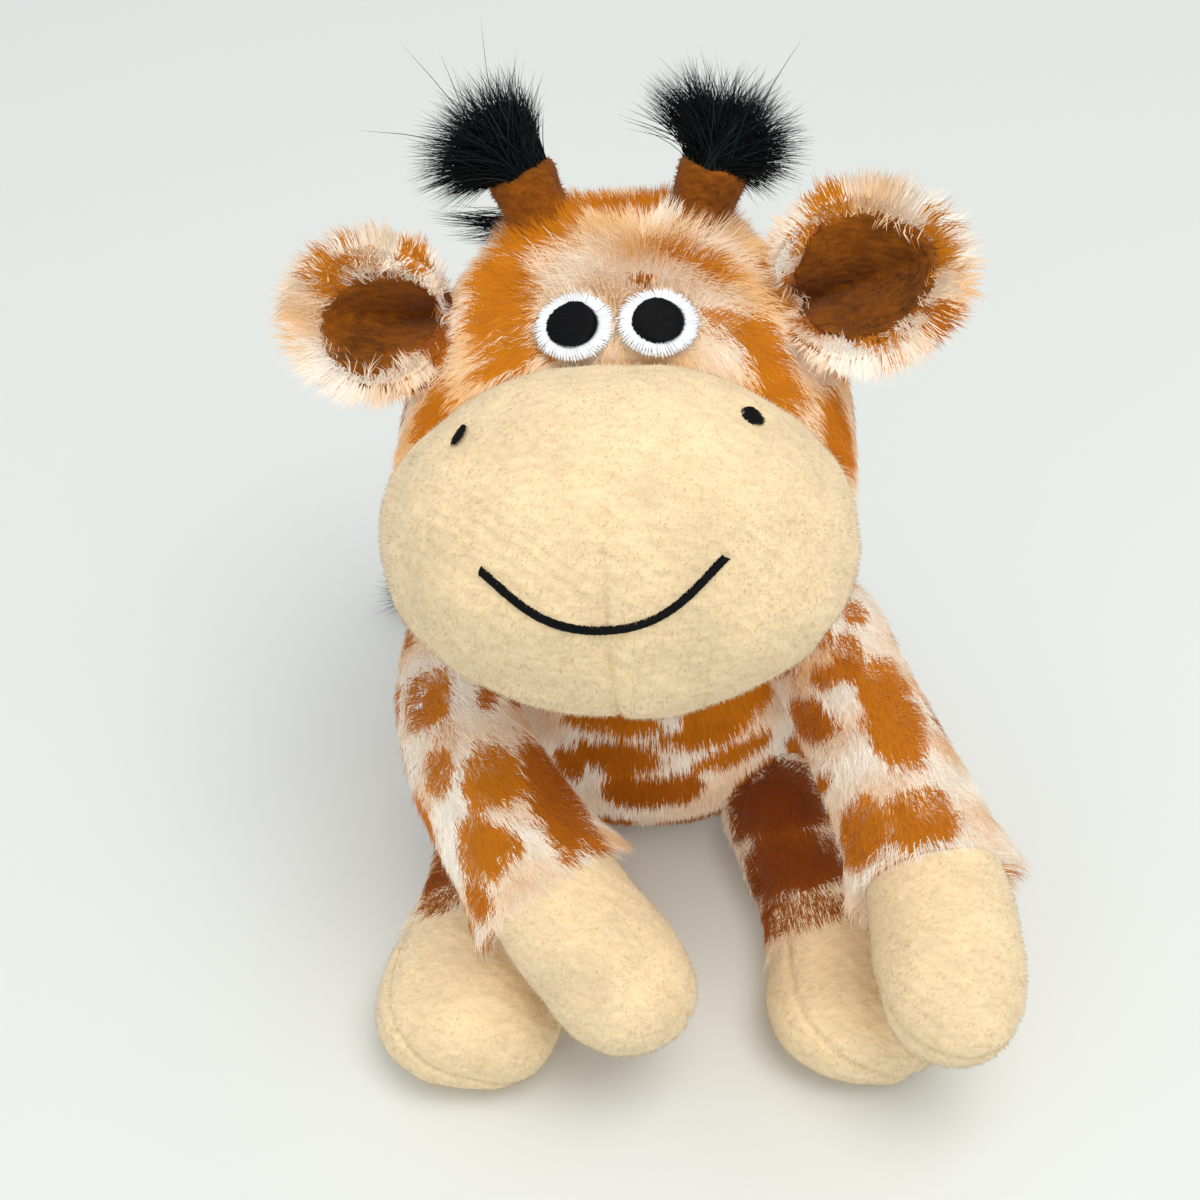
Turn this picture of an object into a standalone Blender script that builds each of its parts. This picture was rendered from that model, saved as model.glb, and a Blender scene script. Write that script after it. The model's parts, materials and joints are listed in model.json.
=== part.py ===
"""Sitting plush giraffe: pile and velour skins over stuffing, with sewn-on limbs, ears and horns.

Metres, +Z up. The toy faces -Y, so its own left side is +X. The origin is the centre of the
flat underside of the rump. Outer sizes are taken over the pile, so a long-pile wall is the
backing and the pile together.
"""

import math

import bmesh
import bpy
from mathutils import Matrix, Vector

# Cloth walls, and the gaps that touching pieces keep
GAP = 0.0003
FILL_GAP = 0.0006
PILE_WALL = 0.004
VELOUR_WALL = 0.0016
CUTTER_OVERRUN = 0.010

# Torso, a pear that stands on its flat rump
TORSO_HEIGHT = 0.088
TORSO_WIDTH = 0.090
TORSO_DEPTH = 0.073
TORSO_LEAN = 0.012

# Bag of pellets that weights the rump: its height, and how far inside the skin it keeps
PELLET_BAG_HEIGHT = 0.018
PELLET_BAG_MARGIN = 0.008
PELLET_BAG_ROUNDING = 0.006

# Head ball: how deep it sits in the neck, where its centre stands, and its small turns in degrees
HEAD_RADIUS = 0.048
HEAD_SINK = 0.017
HEAD_AHEAD = 0.017
HEAD_ASIDE = 0.0045
HEAD_FRONT_WIDTH = 0.092
HEAD_SEAT_GAP = 0.0009
HEAD_PITCH = -8
HEAD_ROLL = -4.5
HEAD_YAW = -4
SEAM_AHEAD = 0.032

# Muzzle, a wide velour cup sewn to the front of the head
MUZZLE_LENGTH = 0.042
MUZZLE_WIDTH = 0.0948
MUZZLE_HEIGHT = 0.0726

# Embroidery: eyes on the pile, nostrils and smile on the velour
EYE_DIAMETER = 0.0155
EYE_SPACING = 0.0163
EYE_LIFT = 57.5
EYE_THICKNESS = 0.0009
PUPIL_DIAMETER = 0.0096
PUPIL_THICKNESS = 0.0007
NOSTRIL_WIDTH = 0.0046
NOSTRIL_HEIGHT = 0.0036
NOSTRIL_SPACING = 0.0550
NOSTRIL_RISE = 0.0290
NOSTRIL_THICKNESS = 0.0008
SMILE_WIDTH = 0.0425
SMILE_DEPTH = 0.0105
SMILE_RISE = 0.0033
SMILE_TILT = 2.5
SMILE_THREAD = 0.0021

# Ears: leaves that stick out from the sides of the head
EAR_LENGTH = 0.036
EAR_WIDTH = 0.036
EAR_CUP = 0.010
EAR_UP = 47
EAR_AHEAD = 0.012
EAR_FACE = 32
LEFT_EAR_RISE = 19
RIGHT_EAR_RISE = 12
EAR_WALL = 0.0036
EAR_FRINGE = 0.0045
EAR_LINING_WALL = 0.0012
EAR_LINING_GAP = 0.0012
LEFT_EAR_PROUD = 0.00135
RIGHT_EAR_PROUD = 0.00160

# Horns and their fibre tufts
HORN_LENGTH = 0.0110
HORN_BASE_DIAMETER = 0.0130
HORN_TOP_DIAMETER = 0.0150
HORN_OUT = 19.5
HORN_BACK = 11
TUFT_LENGTH = 0.0215
TUFT_SPREAD = 0.0380
TUFT_DEPTH = 0.0240
LEFT_TUFT_OUT = -5
RIGHT_TUFT_OUT = 36

# Mane: a crest of long fibre down the back of the head, and one on the back
MANE_THICKNESS = 0.009
MANE_HEIGHT = 0.014
MANE_FLOP = 0.018
MANE_START = 64
MANE_END = 117
BACK_MANE_TOP_SHARE = 0.70
BACK_MANE_BOTTOM_SHARE = 0.34
BACK_MANE_HEIGHT = 0.011
BACK_MANE_FLOP = 0.005

# Arms: they reach out (or in, on the right) and ahead from the shoulder, and hang over the feet
ARM_BALL_RADIUS = 0.0165
ARM_WIDTH = 0.0330
HOOF_WIDTH = 0.0325
SHOULDER_HEIGHT = 0.062
SHOULDER_ANGLE = 22
SHOULDER_PROUD = 0.0085
LEFT_ARM_OUT = 0.0220
LEFT_ARM_AHEAD = 0.0940
RIGHT_ARM_IN = 0.0445
RIGHT_ARM_AHEAD = 0.0830
LEFT_HOOF_LIFT = 0.0035
RIGHT_HOOF_LIFT = -0.0040

# Legs: they reach out and ahead from the hip, and their feet stand flat
LEG_BALL_RADIUS = 0.0155
LEG_WIDTH = 0.0310
FOOT_WIDTH = 0.0440
FOOT_HEIGHT = 0.0280
HIP_ANGLE = 48
HIP_PROUD = 0.0053
HIP_LIFT = 0.0015
LEFT_LEG_OUT = 0.0170
LEFT_LEG_AHEAD = 0.0714
RIGHT_LEG_OUT = 0.0080
RIGHT_LEG_AHEAD = 0.0729
SOLE_FLAT = 0.0005

# Tail: reach to the right and back from its root, and its tuft
TAIL_DIAMETER = 0.0085
TAIL_BALL_RADIUS = 0.0050
TAIL_ROOT_HEIGHT = 0.020
TAIL_ASIDE = 0.042
TAIL_BACK = 0.016
TAIL_LIFT = 0.0018
TAIL_TUFT_LENGTH = 0.026
TAIL_TUFT_SPREAD = 0.018
TAIL_TUFT_HEIGHT = 0.010

# How finely each round form is faceted
TORSO_SIDES = 28
HEAD_SIDES = 28
LIMB_SIDES = 16
PATCH_SIDES = 18
TRIM_SIDES = 12
SMILE_SIDES = 6
SMILE_POINTS = 15
EAR_COLUMNS = 9
EAR_LINING_ROWS = 7
TUFT_LOCKS = 7
TAIL_ROWS = 9
MANE_ROWS = 11
TORSO_INNER_ROWS = 9
CUTTER_SEGMENTS = 32
COURSE_STEPS = 80
SEEK_STEPS = 30
SLOPE_SHARE = 0.01

# Torso rows: share of the height, of the half width, of the half depth, of the lean
TORSO_SHARES = (
    (0.000, 0.690, 0.685, 0.00),
    (0.028, 0.810, 0.810, 0.12),
    (0.090, 0.910, 0.905, 0.33),
    (0.205, 0.982, 0.978, 0.58),
    (0.340, 1.000, 1.000, 0.71),
    (0.480, 0.955, 0.960, 0.79),
    (0.615, 0.855, 0.863, 0.87),
    (0.750, 0.735, 0.753, 0.92),
    (0.865, 0.645, 0.671, 0.96),
    (1.000, 0.600, 0.630, 1.00),
)
# Pellet bag rows: share of the height, and of the rounding that draws that row in
PELLET_BAG_SHARES = ((0.00, 1.00), (0.20, 0.30), (0.50, 0.00), (0.80, 0.35), (1.00, 1.00))
# Muzzle rows: share of the length, of the half width, of the half height
MUZZLE_SHARES = (
    (0.000, 0.945, 0.972),
    (0.090, 0.985, 0.992),
    (0.230, 1.000, 1.000),
    (0.420, 0.972, 0.965),
    (0.610, 0.890, 0.875),
    (0.780, 0.745, 0.715),
    (0.900, 0.545, 0.510),
    (0.975, 0.290, 0.265),
    (1.000, 0.000, 0.000),
)
# Patch rows: share of the thickness, of the half width
PATCH_SHARES = ((0.00, 0.90), (0.45, 1.00), (1.00, 0.86))
# Arm rows: share of the way out or in, ahead and down, from the shoulder
LEFT_ARM_SHARES = (
    (0.000, 0.000, 0.000),
    (0.345, 0.218, 0.130),
    (0.660, 0.430, 0.260),
    (0.910, 0.600, 0.400),
    (1.000, 0.845, 0.560),
    (1.000, 1.000, 1.000),
)
RIGHT_ARM_SHARES = (
    (0.000, 0.000, 0.000),
    (-0.080, 0.212, 0.030),
    (0.000, 0.385, 0.080),
    (0.206, 0.560, 0.240),
    (0.410, 0.720, 0.390),
    (0.680, 0.865, 0.640),
    (1.000, 1.000, 1.000),
)
ARM_CUFF_SHARE = 0.600
# Leg rows: share of the way out, ahead and down, from the hip
LEG_SHARES = (
    (0.00, 0.00, 0.00),
    (0.28, 0.20, 0.30),
    (0.58, 0.42, 0.62),
    (0.86, 0.70, 0.96),
    (1.00, 1.00, 1.00),
)
LEG_CUFF_SHARE = 0.520
# Girth rows: share of the way along, of the half width, of the half height
SLEEVE_SHARES = (
    (0.14, 0.93, 0.93),
    (0.32, 0.94, 0.94),
    (0.55, 0.98, 0.98),
    (0.78, 1.03, 1.02),
    (1.00, 1.13, 1.09),
)
HOOF_SHARES = (
    (0.00, 0.93, 0.93),
    (0.22, 0.97, 0.96),
    (0.50, 1.00, 1.00),
    (0.74, 0.92, 0.92),
    (0.90, 0.68, 0.68),
    (0.975, 0.36, 0.36),
)
TROUSER_SHARES = (
    (0.14, 1.00, 0.98),
    (0.35, 1.03, 0.95),
    (0.58, 1.05, 0.93),
    (0.80, 1.08, 0.91),
    (1.00, 1.12, 0.87),
)
FOOT_SHARES = (
    (0.00, 0.76, 0.96),
    (0.15, 0.87, 1.00),
    (0.36, 0.98, 1.00),
    (0.56, 1.00, 0.99),
    (0.76, 0.88, 0.90),
    (0.91, 0.62, 0.68),
    (0.98, 0.32, 0.36),
)
# Tail rows: share of the way aside, back and down
TAIL_SHARES = (
    (0.00, 0.00, 0.00),
    (0.08, 0.42, 0.40),
    (0.36, 0.86, 0.88),
    (0.70, 1.00, 1.00),
    (1.00, 0.95, 1.00),
)
TAIL_TAPER_SHARE = 0.1
# Ear rows: share of the length, of the half width, of the cup
EAR_SHARES = (
    (0.00, 0.30, 0.85),
    (0.12, 0.58, 1.15),
    (0.26, 0.84, 1.15),
    (0.42, 0.98, 1.00),
    (0.58, 0.98, 0.82),
    (0.74, 0.84, 0.60),
    (0.89, 0.58, 0.34),
    (1.00, 0.20, 0.12),
)
EAR_LINING_START_SHARE = 0.10
# Horn rows: share of the length, of the way from the base's girth to the top's, and of that girth
HORN_SHARES = ((0.00, 0.00, 1.00), (0.50, 0.50, 1.00), (0.90, 1.00, 1.00), (1.00, 1.00, 0.86))
# Tuft rows: share of the length, of the half spread
TUFT_SHARES = ((0.00, 0.30), (0.25, 0.50), (0.55, 0.82), (0.82, 1.00), (1.00, 0.62))
LOCK_DEPTH_SHARE = 0.16
UPRIGHT_SHARE = 0.5
# Mane rows: share of the way down, of the full section
MANE_SHARES = ((0.00, 0.25), (0.12, 0.70), (0.35, 1.00), (0.65, 1.00), (0.88, 0.70), (1.00, 0.25))
# Mane section: share of the half thickness across, share of the height
MANE_SECTION_SHARES = (
    (-0.90, 0.00),
    (-1.00, 0.30),
    (-0.62, 0.72),
    (0.00, 1.00),
    (0.62, 0.72),
    (1.00, 0.30),
    (0.90, 0.00),
)

SIDEWAYS = Vector((1, 0, 0))
BACKWARD = Vector((0, 1, 0))
UP = Vector((0, 0, 1))
LEFT, RIGHT = 1, -1
BALL_ANGLES = (158, 135, 112)
HEAD_ANGLES = (160, 141, 122, 104, 87, 71, 58)
HEAD_INNER_ANGLES = (150, 120, 90, 65)

COLOURS = {
    "pile": ((0.62, 0.27, 0.07), 0.95),
    "velour": ((0.86, 0.68, 0.44), 0.85),
    "tan velour": ((0.33, 0.13, 0.03), 0.85),
    "black fibre": ((0.012, 0.014, 0.018), 0.60),
    "black thread": ((0.010, 0.010, 0.012), 0.50),
    "white thread": ((0.85, 0.86, 0.88), 0.50),
    "stuffing": ((0.90, 0.90, 0.88), 1.00),
    "lining cloth": ((0.70, 0.70, 0.66), 0.90),
}


def clear_scene():
    for thing in list(bpy.data.objects):
        bpy.data.objects.remove(thing, do_unlink=True)


def finish_of(name):
    """The named material, made the first time that it is asked for."""
    found = bpy.data.materials.get(name)
    if found:
        return found
    colour, roughness = COLOURS[name]
    made = bpy.data.materials.new(name)
    made.use_nodes = True
    shader = made.node_tree.nodes["Principled BSDF"]
    shader.inputs["Base Color"].default_value = (*colour, 1)
    shader.inputs["Roughness"].default_value = roughness
    shader.inputs["Metallic"].default_value = 0
    return made


def blend(table, share):
    """The table's row at this share of the way, on a smooth curve through its rows."""
    stops = [row[0] for row in table]
    share = min(max(share, stops[0]), stops[-1])
    last = len(table) - 1
    n = next(i for i in range(last) if share <= stops[i + 1])
    span = stops[n + 1] - stops[n]
    t = (share - stops[n]) / span

    def slope(i, column):
        low, high = max(i - 1, 0), min(i + 1, last)
        return (table[high][column] - table[low][column]) / (stops[high] - stops[low])

    row = []
    for column in range(1, len(table[0])):
        near, far = table[n][column], table[n + 1][column]
        bend = (t - 1) * t * span
        rise = t * t * (3 - 2 * t)
        value = near + (far - near) * rise
        value += bend * ((t - 1) * slope(n, column) + t * slope(n + 1, column))
        row.append(value)
    return row


def spread(first, last, count):
    """Evenly spaced numbers, both ends among them."""
    return [first + (last - first) * i / (count - 1) for i in range(count)]


def oval(centre, side, over, half_width, half_height, sides):
    """Points of one ellipse round a centre."""
    turns = [2 * math.pi * i / sides for i in range(sides)]
    return [
        centre + side * half_width * math.cos(turn) + over * half_height * math.sin(turn)
        for turn in turns
    ]


class Course:
    """A smooth centre line through points, read by the distance along it."""

    def __init__(self, points):
        table = [(i / (len(points) - 1), *point) for i, point in enumerate(points)]
        self.points = [Vector(blend(table, share)) for share in spread(0, 1, COURSE_STEPS)]
        self.distances = [0]
        for near, far in zip(self.points, self.points[1:]):
            self.distances.append(self.distances[-1] + (far - near).length)
        self.length = self.distances[-1]

    def middle_of_step(self, share):
        """The distance nearest to this share that is half way along one straight step."""
        n = next(i for i, distance in enumerate(self.distances) if distance >= share * self.length)
        return (self.distances[n - 1] + self.distances[n]) / 2

    def at(self, distance):
        """Centre, direction, sideways and upward; past either end the line runs on straight."""
        last = len(self.points) - 2
        n = next((i for i in range(last) if distance <= self.distances[i + 1]), last)
        near, far = self.points[n], self.points[n + 1]
        ahead = (far - near).normalized()
        side = ahead.cross(UP).normalized()
        return near + ahead * (distance - self.distances[n]), ahead, side, side.cross(ahead)

    def point(self, distance):
        return self.at(distance)[0]

    def ring(self, distance, half_width, half_height, sides=LIMB_SIDES):
        centre, _, side, over = self.at(distance)
        return oval(centre, side, over, half_width, half_height, sides)

    def root_ball(self, radius, sides=LIMB_SIDES):
        """Rings of the ball round the line's start, from its pole to just short of its middle."""
        rings = [[self.point(-radius)]]
        for angle in BALL_ANGLES:
            turn = math.radians(angle)
            girth = radius * math.sin(turn)
            rings.append(self.ring(radius * math.cos(turn), girth, girth, sides))
        return rings


def finished(name, finish, mesh, parent=None):
    """The object of a bmesh, its faces turned outward, standing under its joint."""
    bmesh.ops.recalc_face_normals(mesh, faces=mesh.faces)
    data = bpy.data.meshes.new(name)
    mesh.to_mesh(data)
    mesh.free()
    data.shade_smooth()
    made = bpy.data.objects.new(name, data)
    bpy.context.scene.collection.objects.link(made)
    if finish:
        data.materials.append(finish_of(finish))
    made.parent = parent
    return made


def solid(name, finish, rings, parent=None):
    """One closed body lofted through rings; a ring of one point is a pole."""
    mesh = bmesh.new()
    rows = [[mesh.verts.new(point) for point in ring] for ring in rings]
    for row in (rows[0], rows[-1]):
        if len(row) > 1:
            mesh.faces.new(row)
    for low, high in zip(rows, rows[1:]):
        for i in range(max(len(low), len(high))):
            corners = [low[i % len(low)], low[(i + 1) % len(low)]]
            corners += [high[(i + 1) % len(high)], high[i % len(high)]]
            mesh.faces.new(list(dict.fromkeys(corners)))
    return finished(name, finish, mesh, parent)


def joint_at(name, place, turn=None):
    """An empty on a joint's axis, which carries what moves there."""
    empty = bpy.data.objects.new(name, None)
    bpy.context.scene.collection.objects.link(empty)
    empty.matrix_world = Matrix.Translation(place) @ (turn or Matrix.Identity(3)).to_4x4()
    return empty


def as_cutter(made):
    made.hide_render = True
    made.display_type = "WIRE"
    return made


def ball_cutter(name, place, radius):
    mesh = bmesh.new()
    bmesh.ops.create_uvsphere(
        mesh, u_segments=CUTTER_SEGMENTS, v_segments=CUTTER_SEGMENTS // 2, radius=radius
    )
    made = finished(name, None, mesh)
    made.location = place
    return as_cutter(made)


def cut(made, cutter):
    step = made.modifiers.new("Cut by " + cutter.name, "BOOLEAN")
    step.operation = "DIFFERENCE"
    step.solver = "EXACT"
    step.object = cutter


def head_turn():
    """The head's small turns: to one side, face up, and one ear higher."""
    return (
        Matrix.Rotation(math.radians(HEAD_YAW), 3, "Z")
        @ Matrix.Rotation(math.radians(HEAD_PITCH), 3, "X")
        @ Matrix.Rotation(math.radians(HEAD_ROLL), 3, "Y")
    )


def head_centre():
    return Vector((-HEAD_ASIDE, -HEAD_AHEAD, TORSO_HEIGHT + HEAD_RADIUS - HEAD_SINK))


def torso_row(height):
    """Half width, half depth and the centre of the torso at this height."""
    width, depth, lean = blend(TORSO_SHARES, height / TORSO_HEIGHT)
    centre = Vector((0, -lean * TORSO_LEAN, height))
    return width * TORSO_WIDTH / 2, depth * TORSO_DEPTH / 2, centre


def torso_back(height):
    """How far behind the origin the torso's back stands at this height."""
    _, half_depth, centre = torso_row(height)
    return half_depth + centre.y


def torso_seat(side, height, angle, proud):
    """A place this proud of the torso, at an angle from its side round to its front."""
    half_width, half_depth, centre = torso_row(height)
    turn = math.radians(angle)
    place = centre + Vector((side * half_width * math.cos(turn), -half_depth * math.sin(turn), 0))
    outward = Vector((side * math.cos(turn) / half_width, -math.sin(turn) / half_depth, 0))
    return place + outward.normalized() * proud


def shoulder(side):
    return torso_seat(side, SHOULDER_HEIGHT, SHOULDER_ANGLE, SHOULDER_PROUD)


def hip(side):
    return torso_seat(side, LEG_BALL_RADIUS + HIP_LIFT, HIP_ANGLE, HIP_PROUD)


def tail_root():
    return Vector((0, torso_back(TAIL_ROOT_HEIGHT) + TAIL_BALL_RADIUS + GAP, TAIL_ROOT_HEIGHT))


def torso_ring(height, inset):
    half_width, half_depth, centre = torso_row(height)
    return oval(centre, SIDEWAYS, BACKWARD, half_width - inset, half_depth - inset, TORSO_SIDES)


def make_pellet_bag():
    """A flat pillow of pellets that lies in the rump, under the stuffing."""
    rings = []
    for share, rounding in PELLET_BAG_SHARES:
        height = PILE_WALL + FILL_GAP + share * PELLET_BAG_HEIGHT
        inset = PILE_WALL + PELLET_BAG_MARGIN + rounding * PELLET_BAG_ROUNDING
        rings.append(torso_ring(height, inset))
    return solid("pellet_bag", "lining cloth", rings)


def make_torso():
    """The pile skin, hollow and open at the neck, with seats for the head and limbs, and its filling."""
    heights = [row[0] * TORSO_HEIGHT for row in TORSO_SHARES]
    skin = solid("torso_skin", "pile", [torso_ring(height, 0) for height in heights])

    inner_heights = spread(PILE_WALL, TORSO_HEIGHT, TORSO_INNER_ROWS)
    inner = [torso_ring(height, PILE_WALL) for height in inner_heights]
    inner.append([point + UP * CUTTER_OVERRUN for point in inner[-1]])
    hollow = as_cutter(solid("torso_hollow", None, inner))

    fill_foot = PILE_WALL + PELLET_BAG_HEIGHT + 2 * FILL_GAP
    fill_heights = [fill_foot] + [height for height in inner_heights if height > fill_foot]
    fill_rings = [torso_ring(height, PILE_WALL + FILL_GAP) for height in fill_heights]
    fill = solid("torso_fill", "stuffing", fill_rings)
    bag = make_pellet_bag()

    head_seat = ball_cutter("head_seat", head_centre(), HEAD_RADIUS + HEAD_SEAT_GAP)
    cut(skin, head_seat)
    cut(fill, head_seat)
    seats = [(shoulder(side), ARM_BALL_RADIUS + GAP) for side in (LEFT, RIGHT)]
    seats += [(hip(side), LEG_BALL_RADIUS + GAP) for side in (LEFT, RIGHT)]
    for n, (place, radius) in enumerate(seats):
        cut(skin, ball_cutter(f"limb_seat_{n}", place, radius))
        cut(hollow, ball_cutter(f"limb_seat_wall_{n}", place, radius + PILE_WALL))
        inner_seat = ball_cutter(f"limb_seat_fill_{n}", place, radius + PILE_WALL + FILL_GAP)
        cut(fill, inner_seat)
        cut(bag, inner_seat)
    cut(skin, hollow)


def face_ring(ahead, half_width, half_height):
    """A ring square to the way that the face looks, which is -Y under the head's joint."""
    return oval(Vector((0, -ahead, 0)), SIDEWAYS, UP, half_width, half_height, HEAD_SIDES)


def head_ring(ahead, inset):
    """A ring of the head ball, which widens towards the muzzle seam."""
    radius = math.sqrt((HEAD_RADIUS - inset) ** 2 - ahead**2)
    seam_radius = math.sqrt(HEAD_RADIUS**2 - SEAM_AHEAD**2)
    nearness = max(ahead / SEAM_AHEAD, 0)
    flare = (HEAD_FRONT_WIDTH / 2 - seam_radius) * nearness * nearness
    return face_ring(ahead, radius + flare, radius)


def head_rings(angles, inset):
    """Rings of the head ball from its back to the muzzle seam, by their angle from the face."""
    radius = HEAD_RADIUS - inset
    rings = [[Vector((0, radius, 0))]]
    rings += [head_ring(radius * math.cos(math.radians(angle)), inset) for angle in angles]
    rings.append(head_ring(SEAM_AHEAD, inset))
    return rings


def muzzle_reach(share):
    """Half width and half height of the muzzle at a share of its length."""
    width, height = blend(MUZZLE_SHARES, share)
    return width * MUZZLE_WIDTH / 2, height * MUZZLE_HEIGHT / 2


def muzzle_rings(shares, inset):
    """Rings of the muzzle from its seam to its front, and the point that closes it."""
    rings = []
    for share in shares:
        half_width, half_height = muzzle_reach(share)
        ahead = SEAM_AHEAD + GAP + share * (MUZZLE_LENGTH - inset)
        rings.append(face_ring(ahead, half_width - inset, half_height - inset))
    rings.append([Vector((0, -(SEAM_AHEAD + GAP + MUZZLE_LENGTH - inset), 0))])
    return rings


def make_head(joint):
    """The head's pile skin and the muzzle's velour skin, both open at their seam, and the stuffing."""
    outer = head_rings(HEAD_ANGLES, 0)
    inner = head_rings(HEAD_INNER_ANGLES, PILE_WALL)
    solid("head_skin", "pile", outer + inner[::-1], joint)

    shares = [row[0] for row in MUZZLE_SHARES[:-1]]
    outer = muzzle_rings(shares, 0)
    inner = muzzle_rings(shares[::2], VELOUR_WALL)
    solid("muzzle_skin", "velour", inner[::-1] + outer, joint)

    ball = head_rings(HEAD_INNER_ANGLES, PILE_WALL + FILL_GAP)
    front = muzzle_rings(shares[::2], VELOUR_WALL + FILL_GAP)
    solid("head_fill", "stuffing", ball + front, joint)


def muzzle_point(across, rise, proud):
    """A point standing this proud of the muzzle, and the way that the muzzle faces there."""

    def outside(share):
        half_width, half_height = muzzle_reach(share)
        if abs(across) > half_width:
            return True
        return abs(rise) > half_height * math.sqrt(1 - (across / half_width) ** 2)

    near, far = 0, 1
    for _ in range(SEEK_STEPS):
        middle = (near + far) / 2
        near, far = (near, middle) if outside(middle) else (middle, far)
    half_width, half_height = muzzle_reach(near)
    lower, upper = muzzle_reach(near - SLOPE_SHARE), muzzle_reach(near + SLOPE_SHARE)
    steepness = (lower[1] - upper[1]) / (2 * SLOPE_SHARE * MUZZLE_LENGTH)
    gradient = Vector((across / half_width**2, 0, rise / half_height**2))
    ahead = gradient.x * across / half_width + gradient.z * rise / half_height
    facing = Vector((gradient.x, -ahead * steepness, gradient.z)).normalized()
    surface = Vector((across, -(SEAM_AHEAD + GAP + near * MUZZLE_LENGTH), rise))
    return surface + facing * proud, facing


def patch(name, finish, place, facing, half_width, half_height, thickness, parent):
    """A flat oval of satin stitches with a softened edge."""
    side = UP.cross(facing).normalized()
    over = facing.cross(side)
    rings = []
    for level, girth in PATCH_SHARES:
        centre = place + facing * level * thickness
        rings.append(oval(centre, side, over, girth * half_width, girth * half_height, PATCH_SIDES))
    solid(name, finish, rings, parent)


def make_eye(side, word, joint):
    """A white disc on the pile just over the seam, and the pupil on it."""
    across = side * EYE_SPACING / 2
    radius = math.sqrt(HEAD_RADIUS**2 - across**2)
    lift = math.radians(EYE_LIFT)
    facing = Vector((across, -radius * math.cos(lift), radius * math.sin(lift))).normalized()
    place = facing * (HEAD_RADIUS + GAP)
    half = EYE_DIAMETER / 2
    patch(f"eye_{word}_white", "white thread", place, facing, half, half, EYE_THICKNESS, joint)
    place = place + facing * (EYE_THICKNESS + GAP)
    half = PUPIL_DIAMETER / 2
    patch(f"eye_{word}_pupil", "black thread", place, facing, half, half, PUPIL_THICKNESS, joint)


def make_nostril(side, word, joint):
    place, facing = muzzle_point(side * NOSTRIL_SPACING / 2, NOSTRIL_RISE, GAP)
    half_width, half_height = NOSTRIL_WIDTH / 2, NOSTRIL_HEIGHT / 2
    name = f"nostril_{word}"
    patch(name, "black thread", place, facing, half_width, half_height, NOSTRIL_THICKNESS, joint)


def make_smile(joint):
    """A satin-stitched line that follows the muzzle's front."""
    half = SMILE_THREAD / 2
    points = []
    for share in spread(-1, 1, SMILE_POINTS):
        across = share * SMILE_WIDTH / 2
        rise = SMILE_RISE + SMILE_DEPTH * share * share + across * math.tan(math.radians(SMILE_TILT))
        points.append(muzzle_point(across, rise, half + GAP)[0])
    line = Course(points)
    rings = [[line.point(-half)]]
    for distance in spread(0, line.length, SMILE_POINTS):
        rings.append(line.ring(distance, half, half, SMILE_SIDES))
    rings.append([line.point(line.length + half)])
    solid("smile", "black thread", rings, joint)


def ear_frame(side):
    """The ear's root on the head, and its ways along, across and facing, under the head's joint."""
    rise, proud = (LEFT_EAR_RISE, LEFT_EAR_PROUD) if side == LEFT else (RIGHT_EAR_RISE, RIGHT_EAR_PROUD)
    rise = math.radians(rise)
    up, face = math.radians(EAR_UP), math.radians(EAR_FACE)
    radius = math.sqrt(HEAD_RADIUS**2 - EAR_AHEAD**2)
    outward = Vector((side * radius * math.cos(up), -EAR_AHEAD, radius * math.sin(up)))
    root = outward.normalized() * (HEAD_RADIUS + proud)
    along = Vector((side * math.cos(rise), 0, math.sin(rise)))
    facing = Vector((0, -math.cos(face), math.sin(face)))
    facing = (facing - along * facing.dot(along)).normalized()
    return root, along, facing.cross(along).normalized(), facing


def rim(grid):
    """The outer points of a grid of rows, in order round it."""
    first, last, between = grid[0], grid[-1], grid[1:-1]
    return first + [row[-1] for row in between] + last[::-1] + [row[0] for row in between[::-1]]


def make_ear_leaf(name, finish, side, stops, margin, lift, wall, joint):
    """A leaf whose sides curl forward, drawn in from the ear's outline by a margin."""
    _, along, across, facing = ear_frame(side)
    mesh = bmesh.new()
    front, back = [], []
    for stop in stops:
        width, cup = blend(EAR_SHARES, stop)
        half = width * EAR_WIDTH / 2
        front_row, back_row = [], []
        for share in spread(-1, 1, EAR_COLUMNS):
            aside = share * (half - margin)
            curl = cup * EAR_CUP * (aside / half) ** 2
            foot = along * stop * EAR_LENGTH + across * aside + facing * (lift + curl)
            front_row.append(mesh.verts.new(foot + facing * wall))
            back_row.append(mesh.verts.new(foot))
        front.append(front_row)
        back.append(back_row)
    for grid in (front, back):
        for low, high in zip(grid, grid[1:]):
            for i in range(EAR_COLUMNS - 1):
                mesh.faces.new((low[i], low[i + 1], high[i + 1], high[i]))
    over, under = rim(front), rim(back)
    for i in range(len(over)):
        mesh.faces.new((over[i - 1], over[i], under[i], under[i - 1]))
    finished(name, finish, mesh, joint)


def make_ear(side, word, joint):
    """A leaf of pile, and a smaller velour leaf that lines it."""
    stops = [row[0] for row in EAR_SHARES]
    make_ear_leaf(f"ear_{word}_back", "pile", side, stops, 0, -EAR_WALL / 2, EAR_WALL, joint)
    stops = spread(EAR_LINING_START_SHARE, 1 - EAR_FRINGE / EAR_LENGTH, EAR_LINING_ROWS)
    lift = EAR_WALL / 2 + EAR_LINING_GAP
    name = f"ear_{word}_lining"
    make_ear_leaf(name, "tan velour", side, stops, EAR_FRINGE, lift, EAR_LINING_WALL, joint)


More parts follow.
